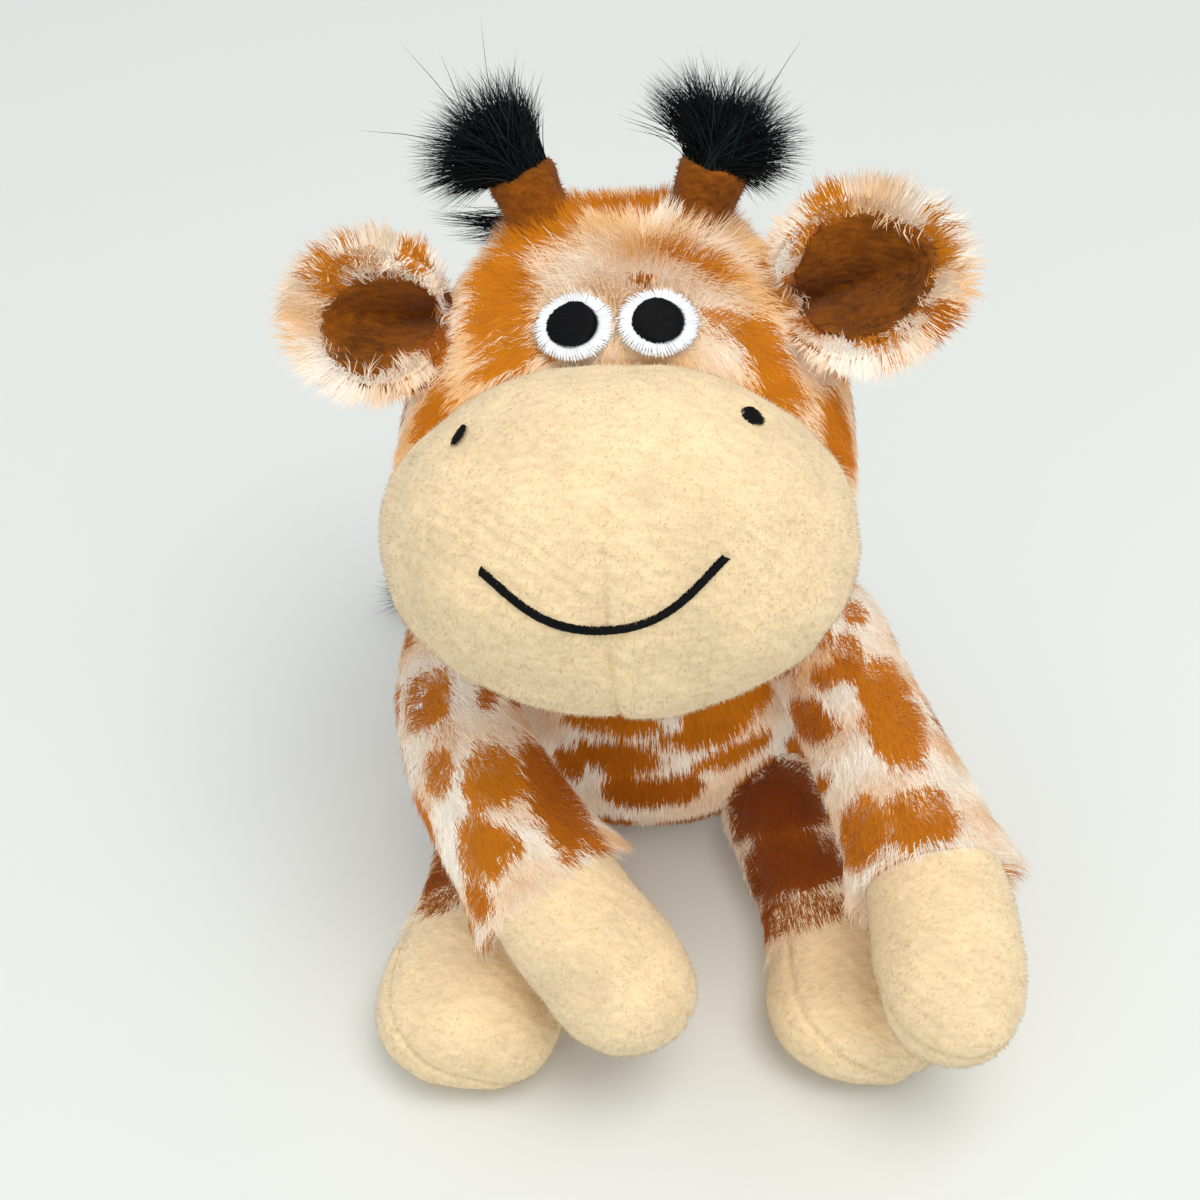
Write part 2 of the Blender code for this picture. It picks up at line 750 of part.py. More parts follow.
def make_horn(side, word, joint):
    """A velour stub with a bunch of long fibre standing out of its top."""
    out, back = math.radians(HORN_OUT), math.radians(HORN_BACK)
    straight = Vector((0, math.sin(back), math.cos(back)))
    axis = straight * math.cos(out) + SIDEWAYS * side * math.sin(out)
    foot = axis * (HEAD_RADIUS + GAP)
    across = axis.cross(BACKWARD).normalized()
    over = axis.cross(across)
    base, top = HORN_BASE_DIAMETER / 2, HORN_TOP_DIAMETER / 2
    rings = []
    for share, widening, lip in HORN_SHARES:
        girth = (base + (top - base) * widening) * lip
        rings.append(oval(foot + axis * share * HORN_LENGTH, across, over, girth, girth, TRIM_SIDES))
    solid(f"horn_{word}", "tan velour", rings, joint)

    tilt = math.radians(LEFT_TUFT_OUT if side == LEFT else RIGHT_TUFT_OUT)
    lean = (axis * math.cos(tilt) + SIDEWAYS * side * math.sin(tilt)).normalized()
    start = foot + axis * (HORN_LENGTH + GAP)
    make_tuft(f"horn_{word}_tuft", start, axis, lean, TUFT_LENGTH, TUFT_SPREAD, TUFT_DEPTH, joint)


def make_tuft(name, start, seat_axis, axis, length, width, height, joint):
    """A bunch of fibres that stands square on its seat and fans out into locks."""
    rings = []
    for share, girth in TUFT_SHARES:
        centre = start + axis * share * length
        way = axis if share else seat_axis
        across = way.cross(UP if abs(way.z) < UPRIGHT_SHARE else BACKWARD).normalized()
        over = way.cross(across)
        ring = oval(centre, across, over, girth * width / 2, girth * height / 2, 2 * TUFT_LOCKS)
        for i in range(1, len(ring), 2):
            ring[i] = ring[i] + (centre - ring[i]) * LOCK_DEPTH_SHARE * share
        rings.append(ring)
    solid(name, "black fibre", rings, joint)


def mane_ring(foot, outward, size, flop, height):
    """A section of the mane: a blade that leans to the toy's right."""
    ring = []
    for aside, rise in MANE_SECTION_SHARES:
        place = foot + outward * rise * size * height
        place = place + SIDEWAYS * (aside * size * MANE_THICKNESS / 2 - rise * rise * size * flop)
        ring.append(place)
    return ring


def make_head_mane(joint):
    rings = []
    for share in spread(0, 1, MANE_ROWS):
        size = blend(MANE_SHARES, share)[0]
        back = math.radians(MANE_START + (MANE_END - MANE_START) * share)
        outward = Vector((0, math.sin(back), math.cos(back)))
        foot = outward * (HEAD_RADIUS + GAP)
        rings.append(mane_ring(foot, outward, size, MANE_FLOP, MANE_HEIGHT))
    solid("mane_head", "black fibre", rings, joint)


def make_back_mane():
    rings = []
    for share in spread(0, 1, MANE_ROWS):
        size = blend(MANE_SHARES, share)[0]
        down = BACK_MANE_TOP_SHARE + (BACK_MANE_BOTTOM_SHARE - BACK_MANE_TOP_SHARE) * share
        height = down * TORSO_HEIGHT
        foot = Vector((0, torso_back(height) + 2 * GAP, height))
        rings.append(mane_ring(foot, BACKWARD, size, BACK_MANE_FLOP, BACK_MANE_HEIGHT))
    solid("mane_back", "black fibre", rings)


def make_limb(names, course, ball_radius, cuff, sleeve, end, joint):
    """A pile sleeve with a ball at its root, a velour end sewn to its cuff, and the stuffing."""
    sleeve_shares, sleeve_half = sleeve
    end_shares, end_half_width, end_half_height = end

    def sleeve_rings(inset):
        rings = course.root_ball(ball_radius - inset)
        rings.append(course.ring(0, ball_radius - inset, ball_radius - inset))
        for share, width, height in sleeve_shares:
            half_width, half_height = width * sleeve_half - inset, height * sleeve_half - inset
            rings.append(course.ring(share * cuff, half_width, half_height))
        return rings

    def end_rings(inset, rows):
        reach = course.length - cuff - GAP
        rings = []
        for share, width, height in rows:
            distance = cuff + GAP + share * (reach - inset)
            half_width, half_height = width * end_half_width - inset, height * end_half_height - inset
            rings.append(course.ring(distance, half_width, half_height))
        rings.append([course.point(course.length - inset)])
        return rings

    solid(names[0], "pile", sleeve_rings(0) + sleeve_rings(PILE_WALL)[::-1], joint)
    inner = end_rings(VELOUR_WALL, end_shares[::2])
    end_skin = solid(names[1], "velour", inner[::-1] + end_rings(0, end_shares), joint)
    stuffing = sleeve_rings(PILE_WALL + FILL_GAP) + end_rings(VELOUR_WALL + FILL_GAP, end_shares[::2])
    solid(names[2], "stuffing", stuffing, joint)
    return end_skin


def make_arm(side, word, joint):
    """An arm whose hoof ends up just over the feet."""
    rest = FOOT_HEIGHT + (LEFT_HOOF_LIFT if side == LEFT else RIGHT_HOOF_LIFT)
    drop = shoulder(side).z - rest
    if side == LEFT:
        reach, table = (LEFT_ARM_OUT, LEFT_ARM_AHEAD), LEFT_ARM_SHARES
    else:
        reach, table = (RIGHT_ARM_IN, RIGHT_ARM_AHEAD), RIGHT_ARM_SHARES
    course = Course([(out * reach[0], -ahead * reach[1], -down * drop) for out, ahead, down in table])
    cuff = course.middle_of_step(ARM_CUFF_SHARE)
    names = (f"arm_{word}_sleeve", f"arm_{word}_hoof", f"arm_{word}_fill")
    sleeve = (SLEEVE_SHARES, ARM_WIDTH / 2)
    hoof = (HOOF_SHARES, HOOF_WIDTH / 2, HOOF_WIDTH / 2)
    make_limb(names, course, ARM_BALL_RADIUS, cuff, sleeve, hoof, joint)


def make_leg(side, word, joint):
    """A leg that reaches ahead to a foot with a flat sole."""
    out, ahead = (LEFT_LEG_OUT, LEFT_LEG_AHEAD) if side == LEFT else (RIGHT_LEG_OUT, RIGHT_LEG_AHEAD)
    drop = hip(side).z + SOLE_FLAT - FOOT_HEIGHT / 2
    points = [(side * aside * out, -share * ahead, -down * drop) for aside, share, down in LEG_SHARES]
    course = Course(points)
    cuff = course.middle_of_step(LEG_CUFF_SHARE)
    names = (f"leg_{word}_sleeve", f"leg_{word}_foot", f"leg_{word}_fill")
    trouser = (TROUSER_SHARES, LEG_WIDTH / 2)
    foot = (FOOT_SHARES, FOOT_WIDTH / 2, FOOT_HEIGHT / 2)
    foot_skin = make_limb(names, course, LEG_BALL_RADIUS, cuff, trouser, foot, joint)
    cut(foot_skin, bpy.data.objects["floor_cutter"])


def make_floor_cutter():
    """A block under the feet, whose top trims each sole flat."""
    mesh = bmesh.new()
    bmesh.ops.create_cube(mesh, size=1)
    made = as_cutter(finished("floor_cutter", None, mesh))
    side = TORSO_WIDTH + LEFT_LEG_AHEAD + RIGHT_LEG_AHEAD
    made.scale = (2 * side, 2 * side, CUTTER_OVERRUN)
    made.location = (0, 0, -CUTTER_OVERRUN / 2)


def make_tail(joint):
    """A thin pile tube that lies on the floor and ends in a bunch of fibre."""
    drop = TAIL_ROOT_HEIGHT - TAIL_DIAMETER / 2 - TAIL_LIFT
    points = [(-out * TAIL_ASIDE, back * TAIL_BACK, -down * drop) for out, back, down in TAIL_SHARES]
    course = Course(points)
    rings = course.root_ball(TAIL_BALL_RADIUS, TRIM_SIDES)
    for distance in spread(0, course.length, TAIL_ROWS):
        radius = max(TAIL_DIAMETER / 2, TAIL_BALL_RADIUS - distance * TAIL_TAPER_SHARE)
        rings.append(course.ring(distance, radius, radius, TRIM_SIDES))
    solid("tail_tube", "pile", rings, joint)
    end, ahead, _, _ = course.at(course.length)
    start = end + ahead * GAP
    size = (TAIL_TUFT_LENGTH, TAIL_TUFT_SPREAD, TAIL_TUFT_HEIGHT)
    make_tuft("tail_tuft", start, ahead, ahead, *size, joint)


def main():
    clear_scene()
    make_torso()
    make_back_mane()
    head_joint = joint_at("head_joint", head_centre(), head_turn())
    make_head(head_joint)
    make_smile(head_joint)
    make_head_mane(head_joint)
    make_floor_cutter()
    for side, word in ((LEFT, "left"), (RIGHT, "right")):
        make_eye(side, word, head_joint)
        make_nostril(side, word, head_joint)
        make_horn(side, word, head_joint)
        ear_root = head_joint.matrix_world @ ear_frame(side)[0]
        make_ear(side, word, joint_at(f"ear_{word}_joint", ear_root, head_turn()))
        make_arm(side, word, joint_at(f"arm_{word}_joint", shoulder(side)))
        make_leg(side, word, joint_at(f"leg_{word}_joint", hip(side)))
    make_tail(joint_at("tail_joint", tail_root()))


main()
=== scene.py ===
"""Looks of the sitting plush giraffe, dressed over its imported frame.

Metres, +Z up. The toy faces -Y, so its own left side is +X. Backing cloths are smoothed from the
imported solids, and pile, nap, fibre and stitches are real strands that stand on them.
"""

import json
import math

import bmesh
import bpy
import numpy as np
from mathutils import Matrix, Vector
from mathutils.bvhtree import BVHTree
from mathutils.kdtree import KDTree


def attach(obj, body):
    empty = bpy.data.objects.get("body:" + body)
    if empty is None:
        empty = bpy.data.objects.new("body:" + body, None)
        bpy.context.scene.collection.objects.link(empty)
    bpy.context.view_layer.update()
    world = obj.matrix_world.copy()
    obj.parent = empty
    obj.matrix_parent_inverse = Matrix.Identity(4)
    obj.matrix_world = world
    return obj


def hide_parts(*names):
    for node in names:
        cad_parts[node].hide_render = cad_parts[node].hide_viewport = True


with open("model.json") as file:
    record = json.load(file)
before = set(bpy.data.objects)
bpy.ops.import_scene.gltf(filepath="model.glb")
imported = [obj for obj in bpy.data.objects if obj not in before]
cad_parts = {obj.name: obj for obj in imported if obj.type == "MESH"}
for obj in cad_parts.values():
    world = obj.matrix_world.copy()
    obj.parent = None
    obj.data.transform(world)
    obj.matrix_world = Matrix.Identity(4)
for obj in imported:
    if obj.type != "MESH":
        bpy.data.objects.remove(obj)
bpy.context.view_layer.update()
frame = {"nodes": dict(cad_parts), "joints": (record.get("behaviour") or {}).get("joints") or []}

MM = 0.001
SEED = 7

# The photograph's frame and the camera that matches it
PHOTO_SIDE = 1200
LENS_MM = 62
SENSOR_MM = 36
CAMERA_PLACE = Vector((-10.9, -353.2, 403.2)) * MM
CAMERA_TILT = math.radians(45)
FOCUS_PX = LENS_MM / SENSOR_MM * PHOTO_SIDE
CAMERA_RIGHT = Vector((1, 0, 0))
CAMERA_UP = Vector((0, math.cos(CAMERA_TILT), math.sin(CAMERA_TILT)))
CAMERA_BACK = Vector((0, -math.sin(CAMERA_TILT), math.cos(CAMERA_TILT)))

# How the head is sewn on, in degrees
HEAD_YAW, HEAD_PITCH, HEAD_ROLL = -4, -8, -4.5

# Pile: how far its backing lies under the pile's outer face, and its length
PILE_DEPTH = 3.1 * MM
PILE_LENGTH = 5.4 * MM
PILE_WIDTH = 0.27 * MM
NAP_LENGTH = 0.9 * MM
NAP_WIDTH = 0.16 * MM
WELD = 0.02 * MM
# Real knit rows lie closer; these are drawn coarser, so that they show
KNIT_ROW = 1.3 * MM
BACKING_VOXEL = 2.2 * MM

# How far a flat strand may turn from facing outward
MOST_TWIST = math.radians(40)
# The print is laid on the pile's tips, so a strand takes the dye that lies this far along it
PRINT_SHARE = 0.88
# A spot seen aslant is stretched no more than at this slope
LEAST_SLOPE = 0.55


def linear(code):
    """An sRGB hex value as linear red, green and blue."""
    parts = [int(code[i:i + 2], 16) / 255 for i in (1, 3, 5)]
    return np.array([p / 12.92 if p <= 0.04045 else ((p + 0.055) / 1.055) ** 2.4 for p in parts])


# Dyes, as they look in plain light; the brown pile and the tan velour's dark also hold painted shade, and the
# fibre's grey is painted highlight
CREAM_PILE = linear("#FFF3E4")
PEACH_PILE = linear("#EAB67C")
ORANGE_PILE = linear("#D27E0E")
RUST_PILE = linear("#A85806")
BROWN_PILE_AND_PAINTED_SHADE = linear("#6E2A04")
CREAM_VELOUR = linear("#FADFB2")
TAN_VELOUR = linear("#9C560A")
# The tan velour's dark: its random mottles, and painted shade in the troughs of its ripples
TAN_MOTTLE_AND_PAINTED_SHADE = linear("#5C3006")
BLACK_FIBRE = linear("#030506")
# The grey that a few fibres are mixed towards is painted highlight: the gloss and bright ends of black fibre
PAINTED_FIBRE_HIGHLIGHT = linear("#2A3536")
BLACK_THREAD = linear("#050507")
WHITE_THREAD = linear("#F6F7FA")


# Materials

def add(tree, kind, inputs=None, **settings):
    """A node with its settings; inputs give a value, or the socket that feeds it, by name or number."""
    node = tree.nodes.new(kind)
    for key, value in settings.items():
        setattr(node, key, value)
    for key, value in (inputs or {}).items():
        if isinstance(value, bpy.types.NodeSocket):
            tree.links.new(value, node.inputs[key])
        else:
            node.inputs[key].default_value = value
    return node


def material(name, roughness, sheen=0.0, sheen_roughness=0.5, specular=0.3):
    """A Principled material whose steady values sit on the shader's own sockets."""
    made = bpy.data.materials.new(name)
    made.use_nodes = True
    tree = made.node_tree
    tree.nodes.clear()
    shader = add(tree, "ShaderNodeBsdfPrincipled", {
        "Roughness": roughness,
        "Specular IOR Level": specular,
        "Sheen Weight": sheen,
        "Sheen Roughness": sheen_roughness,
    })
    output = add(tree, "ShaderNodeOutputMaterial")
    tree.links.new(shader.outputs[0], output.inputs[0])
    return made, tree, shader


def dyed_strands(name, roughness, sheen, specular, mottle_mm, mottle):
    """Strands that carry their own dye, a little uneven from place to place."""
    made, tree, shader = material(name, roughness, sheen, 0.4, specular)
    dye = add(tree, "ShaderNodeAttribute", attribute_name="dye")
    place = add(tree, "ShaderNodeTexCoord")
    spots = add(tree, "ShaderNodeTexNoise", {
        "Vector": place.outputs["Object"], "Scale": 1 / (mottle_mm * MM), "Detail": 2.0,
    })
    shade = add(tree, "ShaderNodeMapRange", {
        "Value": spots.outputs["Fac"], "From Min": 0.3, "From Max": 0.7,
        "To Min": 1 - mottle, "To Max": 1 + mottle,
    })
    mixed = add(tree, "ShaderNodeVectorMath", {
        0: dye.outputs["Color"], 1: shade.outputs["Result"],
    }, operation="MULTIPLY")
    tree.links.new(mixed.outputs[0], shader.inputs["Base Color"])
    return made


def backing_cloth(name):
    """Knitted polyester backing, which only shows between the pile's locks; its dye is painted darker there as
    shade.
    """
    made, tree, shader = material(name, 0.95, 0.2)
    dye = add(tree, "ShaderNodeAttribute", attribute_name="dye")
    place = add(tree, "ShaderNodeTexCoord")
    fibres = add(tree, "ShaderNodeTexNoise", {
        "Vector": place.outputs["Object"], "Scale": 1 / (0.8 * MM), "Detail": 3.0,
    })
    shade = add(tree, "ShaderNodeMapRange", {
        "Value": fibres.outputs["Fac"], "From Min": 0.25, "From Max": 0.75,
        "To Min": 0.9, "To Max": 1.0,
    })
    mixed = add(tree, "ShaderNodeVectorMath", {
        0: dye.outputs["Color"], 1: shade.outputs["Result"],
    }, operation="MULTIPLY")
    tree.links.new(mixed.outputs[0], shader.inputs["Base Color"])
    lift = add(tree, "ShaderNodeBump", {
        "Height": fibres.outputs["Fac"], "Strength": 0.6, "Distance": 0.3 * MM,
    })
    tree.links.new(lift.outputs[0], shader.inputs["Normal"])
    return made


def velour(name, light, dark_mottle_and_painted_shade, ripple_mm, ripple_depth_mm, sheen):
    """Cut-pile velour: a matt nap that brushes into fine ripples and mottles. Its colour runs towards the dark
    one in random mottles and, as painted shade, in the troughs of its ripples.
    """
    made, tree, shader = material(name, 0.9, sheen, 0.5, 0.15)
    place = add(tree, "ShaderNodeTexCoord")
    stretched = add(tree, "ShaderNodeMapping", {
        "Vector": place.outputs["Object"], "Scale": (0.35, 1.0, 1.0),
    })
    ripples = add(tree, "ShaderNodeTexNoise", {
        "Vector": stretched.outputs[0], "Scale": 1 / (ripple_mm * MM), "Detail": 3.0,
        "Roughness": 0.55, "Distortion": 0.4,
    })
    mottles = add(tree, "ShaderNodeTexNoise", {
        "Vector": place.outputs["Object"], "Scale": 1 / (14 * MM), "Detail": 3.0,
    })
    both = add(tree, "ShaderNodeMath", {
        0: ripples.outputs["Fac"], 1: mottles.outputs["Fac"],
    }, operation="ADD")
    share = add(tree, "ShaderNodeMapRange", {
        "Value": both.outputs[0], "From Min": 0.72, "From Max": 1.28,
    })
    # Painted shade: the colour darkens in the troughs of the ripples that also lower the bump, and in random
    # mottles
    colour = add(tree, "ShaderNodeMix", {
        0: share.outputs["Result"], 6: (*dark_mottle_and_painted_shade, 1), 7: (*light, 1),
    }, data_type="RGBA")
    tree.links.new(colour.outputs[2], shader.inputs["Base Color"])
    fibres = add(tree, "ShaderNodeTexNoise", {
        "Vector": place.outputs["Object"], "Scale": 1 / (0.45 * MM), "Detail": 2.0,
    })
    rows = add(tree, "ShaderNodeTexWave", {
        "Vector": place.outputs["Object"], "Scale": 1 / (KNIT_ROW * 6.28), "Distortion": 5.0,
        "Detail": 2.0, "Detail Scale": 0.6,
    }, bands_direction="DIAGONAL")
    fibrous = add(tree, "ShaderNodeMath", {
        0: fibres.outputs["Fac"], 1: 0.35, 2: ripples.outputs["Fac"],
    }, operation="MULTIPLY_ADD")
    height = add(tree, "ShaderNodeMath", {
        0: rows.outputs["Fac"], 1: 0.45, 2: fibrous.outputs[0],
    }, operation="MULTIPLY_ADD")
    lift = add(tree, "ShaderNodeBump", {
        "Height": height.outputs[0], "Strength": 1.0, "Distance": ripple_depth_mm * MM,
    })
    tree.links.new(lift.outputs[0], shader.inputs["Normal"])
    return made


def woven(name, light, thread_mm):
    """Plain cloth or loose filling that stays inside the toy."""
    made, tree, shader = material(name, 0.95, 0.2)
    place = add(tree, "ShaderNodeTexCoord")
    threads = add(tree, "ShaderNodeTexNoise", {
        "Vector": place.outputs["Object"], "Scale": 1 / (thread_mm * MM), "Detail": 4.0,
    })
    shade = add(tree, "ShaderNodeMapRange", {
        "Value": threads.outputs["Fac"], "To Min": 0.75, "To Max": 1.05,
    })
    mixed = add(tree, "ShaderNodeVectorMath", {
        0: tuple(light), 1: shade.outputs["Result"],
    }, operation="MULTIPLY")
    tree.links.new(mixed.outputs[0], shader.inputs["Base Color"])
    return made


# Brushed pile is matt, and its dye clouds a little over some millimetres
PILE = dyed_strands("brushed polyester pile", 0.85, 0.03, 0.12, 6, 0.08)
# Velour's short nap is matt, with a faint bloom at the edges
NAP = dyed_strands("velour nap", 0.9, 0.08, 0.12, 8, 0.05)
# Loose synthetic fibre is smoother than pile and keeps a low gloss
FIBRE = dyed_strands("black synthetic fibre", 0.5, 0.0, 0.10, 9, 0.12)
# White satin stitches lie side by side and shine softly
SATIN = dyed_strands("white satin stitch", 0.38, 0.1, 0.5, 4, 0.05)
# Black satin stitches look flat and deep, with only a trace of gloss
BLACK_SATIN = dyed_strands("black satin stitch", 0.5, 0.0, 0.14, 4, 0.05)
BACKING = backing_cloth("knitted pile backing")
# Cream velour shows brushed ripples and a soft light rim; tan velour has deeper ripples. Both darken in random
# mottles and, as painted shade, in the troughs of their ripples
CREAM = velour("cream velour", CREAM_VELOUR, CREAM_VELOUR * 0.80, 1.5, 0.34, 0.35)
TAN = velour("tan velour", TAN_VELOUR, TAN_MOTTLE_AND_PAINTED_SHADE, 1.3, 0.45, 0.06)
STUFFING = woven("polyester stuffing", linear("#F1F1EC"), 3.0)
LINING = woven("woven pellet bag cloth", linear("#D9D8D0"), 0.5)


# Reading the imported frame

def copied(node):
    """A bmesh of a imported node, its split corners joined and its triangles paired."""
    mesh = bmesh.new()
    mesh.from_mesh(frame["nodes"][node].data)
    bmesh.ops.remove_doubles(mesh, verts=mesh.verts, dist=WELD)
    bmesh.ops.join_triangles(mesh, faces=mesh.faces, angle_face_threshold=0.8, angle_shape_threshold=0.9)
    return mesh


def tree_of(mesh):
    """A finder for the nearest places of a bmesh and for rays that meet it."""
    return BVHTree.FromBMesh(mesh)


def outer_sheet(node, filling):
    """Only the outer face of a packed skin: the points whose normals lead away from its filling."""
    inside = tree_of(copied(filling))
    mesh = copied(node)
    mesh.normal_update()
    inner = [v for v in mesh.verts if v.normal.dot(v.co - inside.find_nearest(v.co)[0]) < 0]
    bmesh.ops.delete(mesh, geom=inner, context="VERTS")
    return mesh


def bmesh_of(piece):
    """A bmesh of a made piece."""
    mesh = bmesh.new()
    mesh.from_mesh(piece.data)
    return mesh


def hull(node):
    """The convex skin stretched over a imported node."""
    mesh = copied(node)
    found = bmesh.ops.convex_hull(mesh, input=mesh.verts)
    bmesh.ops.delete(mesh, geom=found["geom_interior"] + found["geom_unused"], context="VERTS")
    loose = [v for v in mesh.verts if not v.link_faces]
    bmesh.ops.delete(mesh, geom=loose, context="VERTS")
    bmesh.ops.recalc_face_normals(mesh, faces=mesh.faces)
    return mesh


def as_object(name, mesh, finish):
    """A scene object made from a bmesh, which is freed."""
    data = bpy.data.meshes.new(name)
    mesh.normal_update()
    mesh.to_mesh(data)
    mesh.free()
    made = bpy.data.objects.new(name, data)
    bpy.context.scene.collection.objects.link(made)
    data.materials.append(finish)
    return made


def step(piece, kind, **settings):
    """Adds a modifier with its settings."""
    added = piece.modifiers.new(kind.title(), kind)
    for key, value in settings.items():
        setattr(added, key, value)
    return added


def settled(piece):
    """Applies the piece's modifiers, so that its strands can stand on its real surface."""
    graph = bpy.context.evaluated_depsgraph_get()
    data = bpy.data.meshes.new_from_object(piece.evaluated_get(graph))
    piece.modifiers.clear()
    piece.data = data
    data.shade_smooth()
    return piece


def vertex_rows(data, what):
    """The places or the normals of a mesh's vertices, one row each."""
    out = np.empty(len(data.vertices) * 3)
    data.vertices.foreach_get(what, out)
    return out.reshape(-1, 3)


def points_of(piece):
    return vertex_rows(piece.data, "co")


def normals_of(piece):
    return vertex_rows(piece.data, "normal")


def set_points(piece, points):
    piece.data.vertices.foreach_set("co", np.asarray(points, float).ravel())
    piece.data.update()


def node_points(node):
    """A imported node's corners, each once."""
    corners = vertex_rows(frame["nodes"][node].data, "co")
    return np.unique(np.round(corners / WELD) * WELD, axis=0)


def floored(points):
    """Nothing of the toy goes through the floor."""
    points = points.copy()
    points[:, 2] = np.maximum(points[:, 2], 0)
    return points


def set_dye(data, colours):
    """Stores the dye of each of a mesh's vertices, or one dye for all of them."""
    rows = np.ones((len(data.vertices), 4))
    rows[:, :3] = colours
    layer = data.color_attributes.new("dye", "FLOAT_COLOR", "POINT")
    layer.data.foreach_set("color", rows.reshape(-1))


def unit(rows):
    """Each row at length one."""
    rows = np.asarray(rows, float)
    return rows / np.maximum(np.linalg.norm(rows, axis=-1, keepdims=True), 1e-12)


def principal(points):
    """Centre and principal axes of points, the longest first."""
    centre = points.mean(0)
    _, _, axes = np.linalg.svd(points - centre, full_matrices=False)
    return centre, axes


def joint_place(name):
    """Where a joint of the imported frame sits, and its axis."""
    found = next(j for j in frame["joints"] if j["name"] == name)
    return np.array(found["pos_m"]), np.array(found["axis"])


HEAD_CENTRE = joint_place("head_nod")[0]
HEAD_TURN = np.array(
    Matrix.Rotation(math.radians(HEAD_YAW), 3, "Z")
    @ Matrix.Rotation(math.radians(HEAD_PITCH), 3, "X")
    @ Matrix.Rotation(math.radians(HEAD_ROLL), 3, "Y")
)
HEAD_SIDE, HEAD_BACK, HEAD_UP = HEAD_TURN.T


def in_head(points):
    """Points in the head's own axes: to its left, back and up from its centre."""
    return (np.asarray(points) - HEAD_CENTRE) @ HEAD_TURN


# The photograph's pixels, seen from the camera

def pixels(points):
    """Where points show in the photograph's frame, and how far ahead of the camera they are."""
    away = np.asarray(points) - np.array(CAMERA_PLACE)
    depth = -(away @ np.array(CAMERA_BACK))
    across = away @ np.array(CAMERA_RIGHT) / depth * FOCUS_PX
    above = away @ np.array(CAMERA_UP) / depth * FOCUS_PX
    return PHOTO_SIDE / 2 + across, PHOTO_SIDE / 2 - above, depth


def ray(px, py):
    """The way from the camera through a pixel."""
    way = CAMERA_RIGHT * (px - PHOTO_SIDE / 2) - CAMERA_UP * (py - PHOTO_SIDE / 2)
    return (way - CAMERA_BACK * FOCUS_PX).normalized()


def through(px, py, level):
    """The point of a pixel's ray at the depth of another point."""
    way = ray(px, py)
    depth = (Vector(level) - CAMERA_PLACE).dot(-CAMERA_BACK)
    return np.array(CAMERA_PLACE + way * (depth / way.dot(-CAMERA_BACK)))


# Everything that can hide a surface from the camera
whole = bmesh.new()
for packed in frame["nodes"].values():
    whole.from_mesh(packed.data)
WHOLE = BVHTree.FromBMesh(whole)
whole.free()


def in_sight(points, normals, clearance):
    """True for each place that the camera sees past the rest of the toy."""
    seen = np.zeros(len(points), bool)
    for i, (point, normal) in enumerate(zip(points, normals)):
        start = Vector(point) + Vector(normal) * clearance
        way = CAMERA_PLACE - start
        if Vector(normal).dot(way.normalized()) > 0.15:
            seen[i] = WHOLE.ray_cast(start, way.normalized(), way.length)[0] is None
    return seen


# Strands

def sampled(piece, per_mm2, rng):
    """Random places spread evenly over a piece, with the surface's normals there."""
    data = piece.data
    data.calc_loop_triangles()
    corners = np.empty(len(data.loop_triangles) * 3, int)
    data.loop_triangles.foreach_get("vertices", corners)
    corners = corners.reshape(-1, 3)
    points, normals = points_of(piece), normals_of(piece)
    a, b, c = (points[corners[:, i]] for i in range(3))
    areas = np.linalg.norm(np.cross(b - a, c - a), axis=1) / 2
    count = int(areas.sum() * per_mm2 / MM**2)
    chosen = rng.choice(len(areas), count, p=areas / areas.sum())
    first, second = np.sqrt(rng.random(count)), rng.random(count)
    weights = np.stack([1 - first, first * (1 - second), first * second], 1)
    picked = corners[chosen]
    place = (points[picked] * weights[:, :, None]).sum(1)
    return place, unit((normals[picked] * weights[:, :, None]).sum(1))


def smooth_noise(points, size, seed):
    """A soft wave pattern between about -1 and 1, whose bumps are about this size."""
    rng = np.random.default_rng(seed)
    total = np.zeros(len(points))
    for _ in range(9):
        way = unit(rng.normal(size=3))
        steepness = 2 * math.pi / size * rng.uniform(0.6, 1.3)
        total += np.sin(points @ way * steepness + rng.uniform(0, 6.3))
    return total / 3


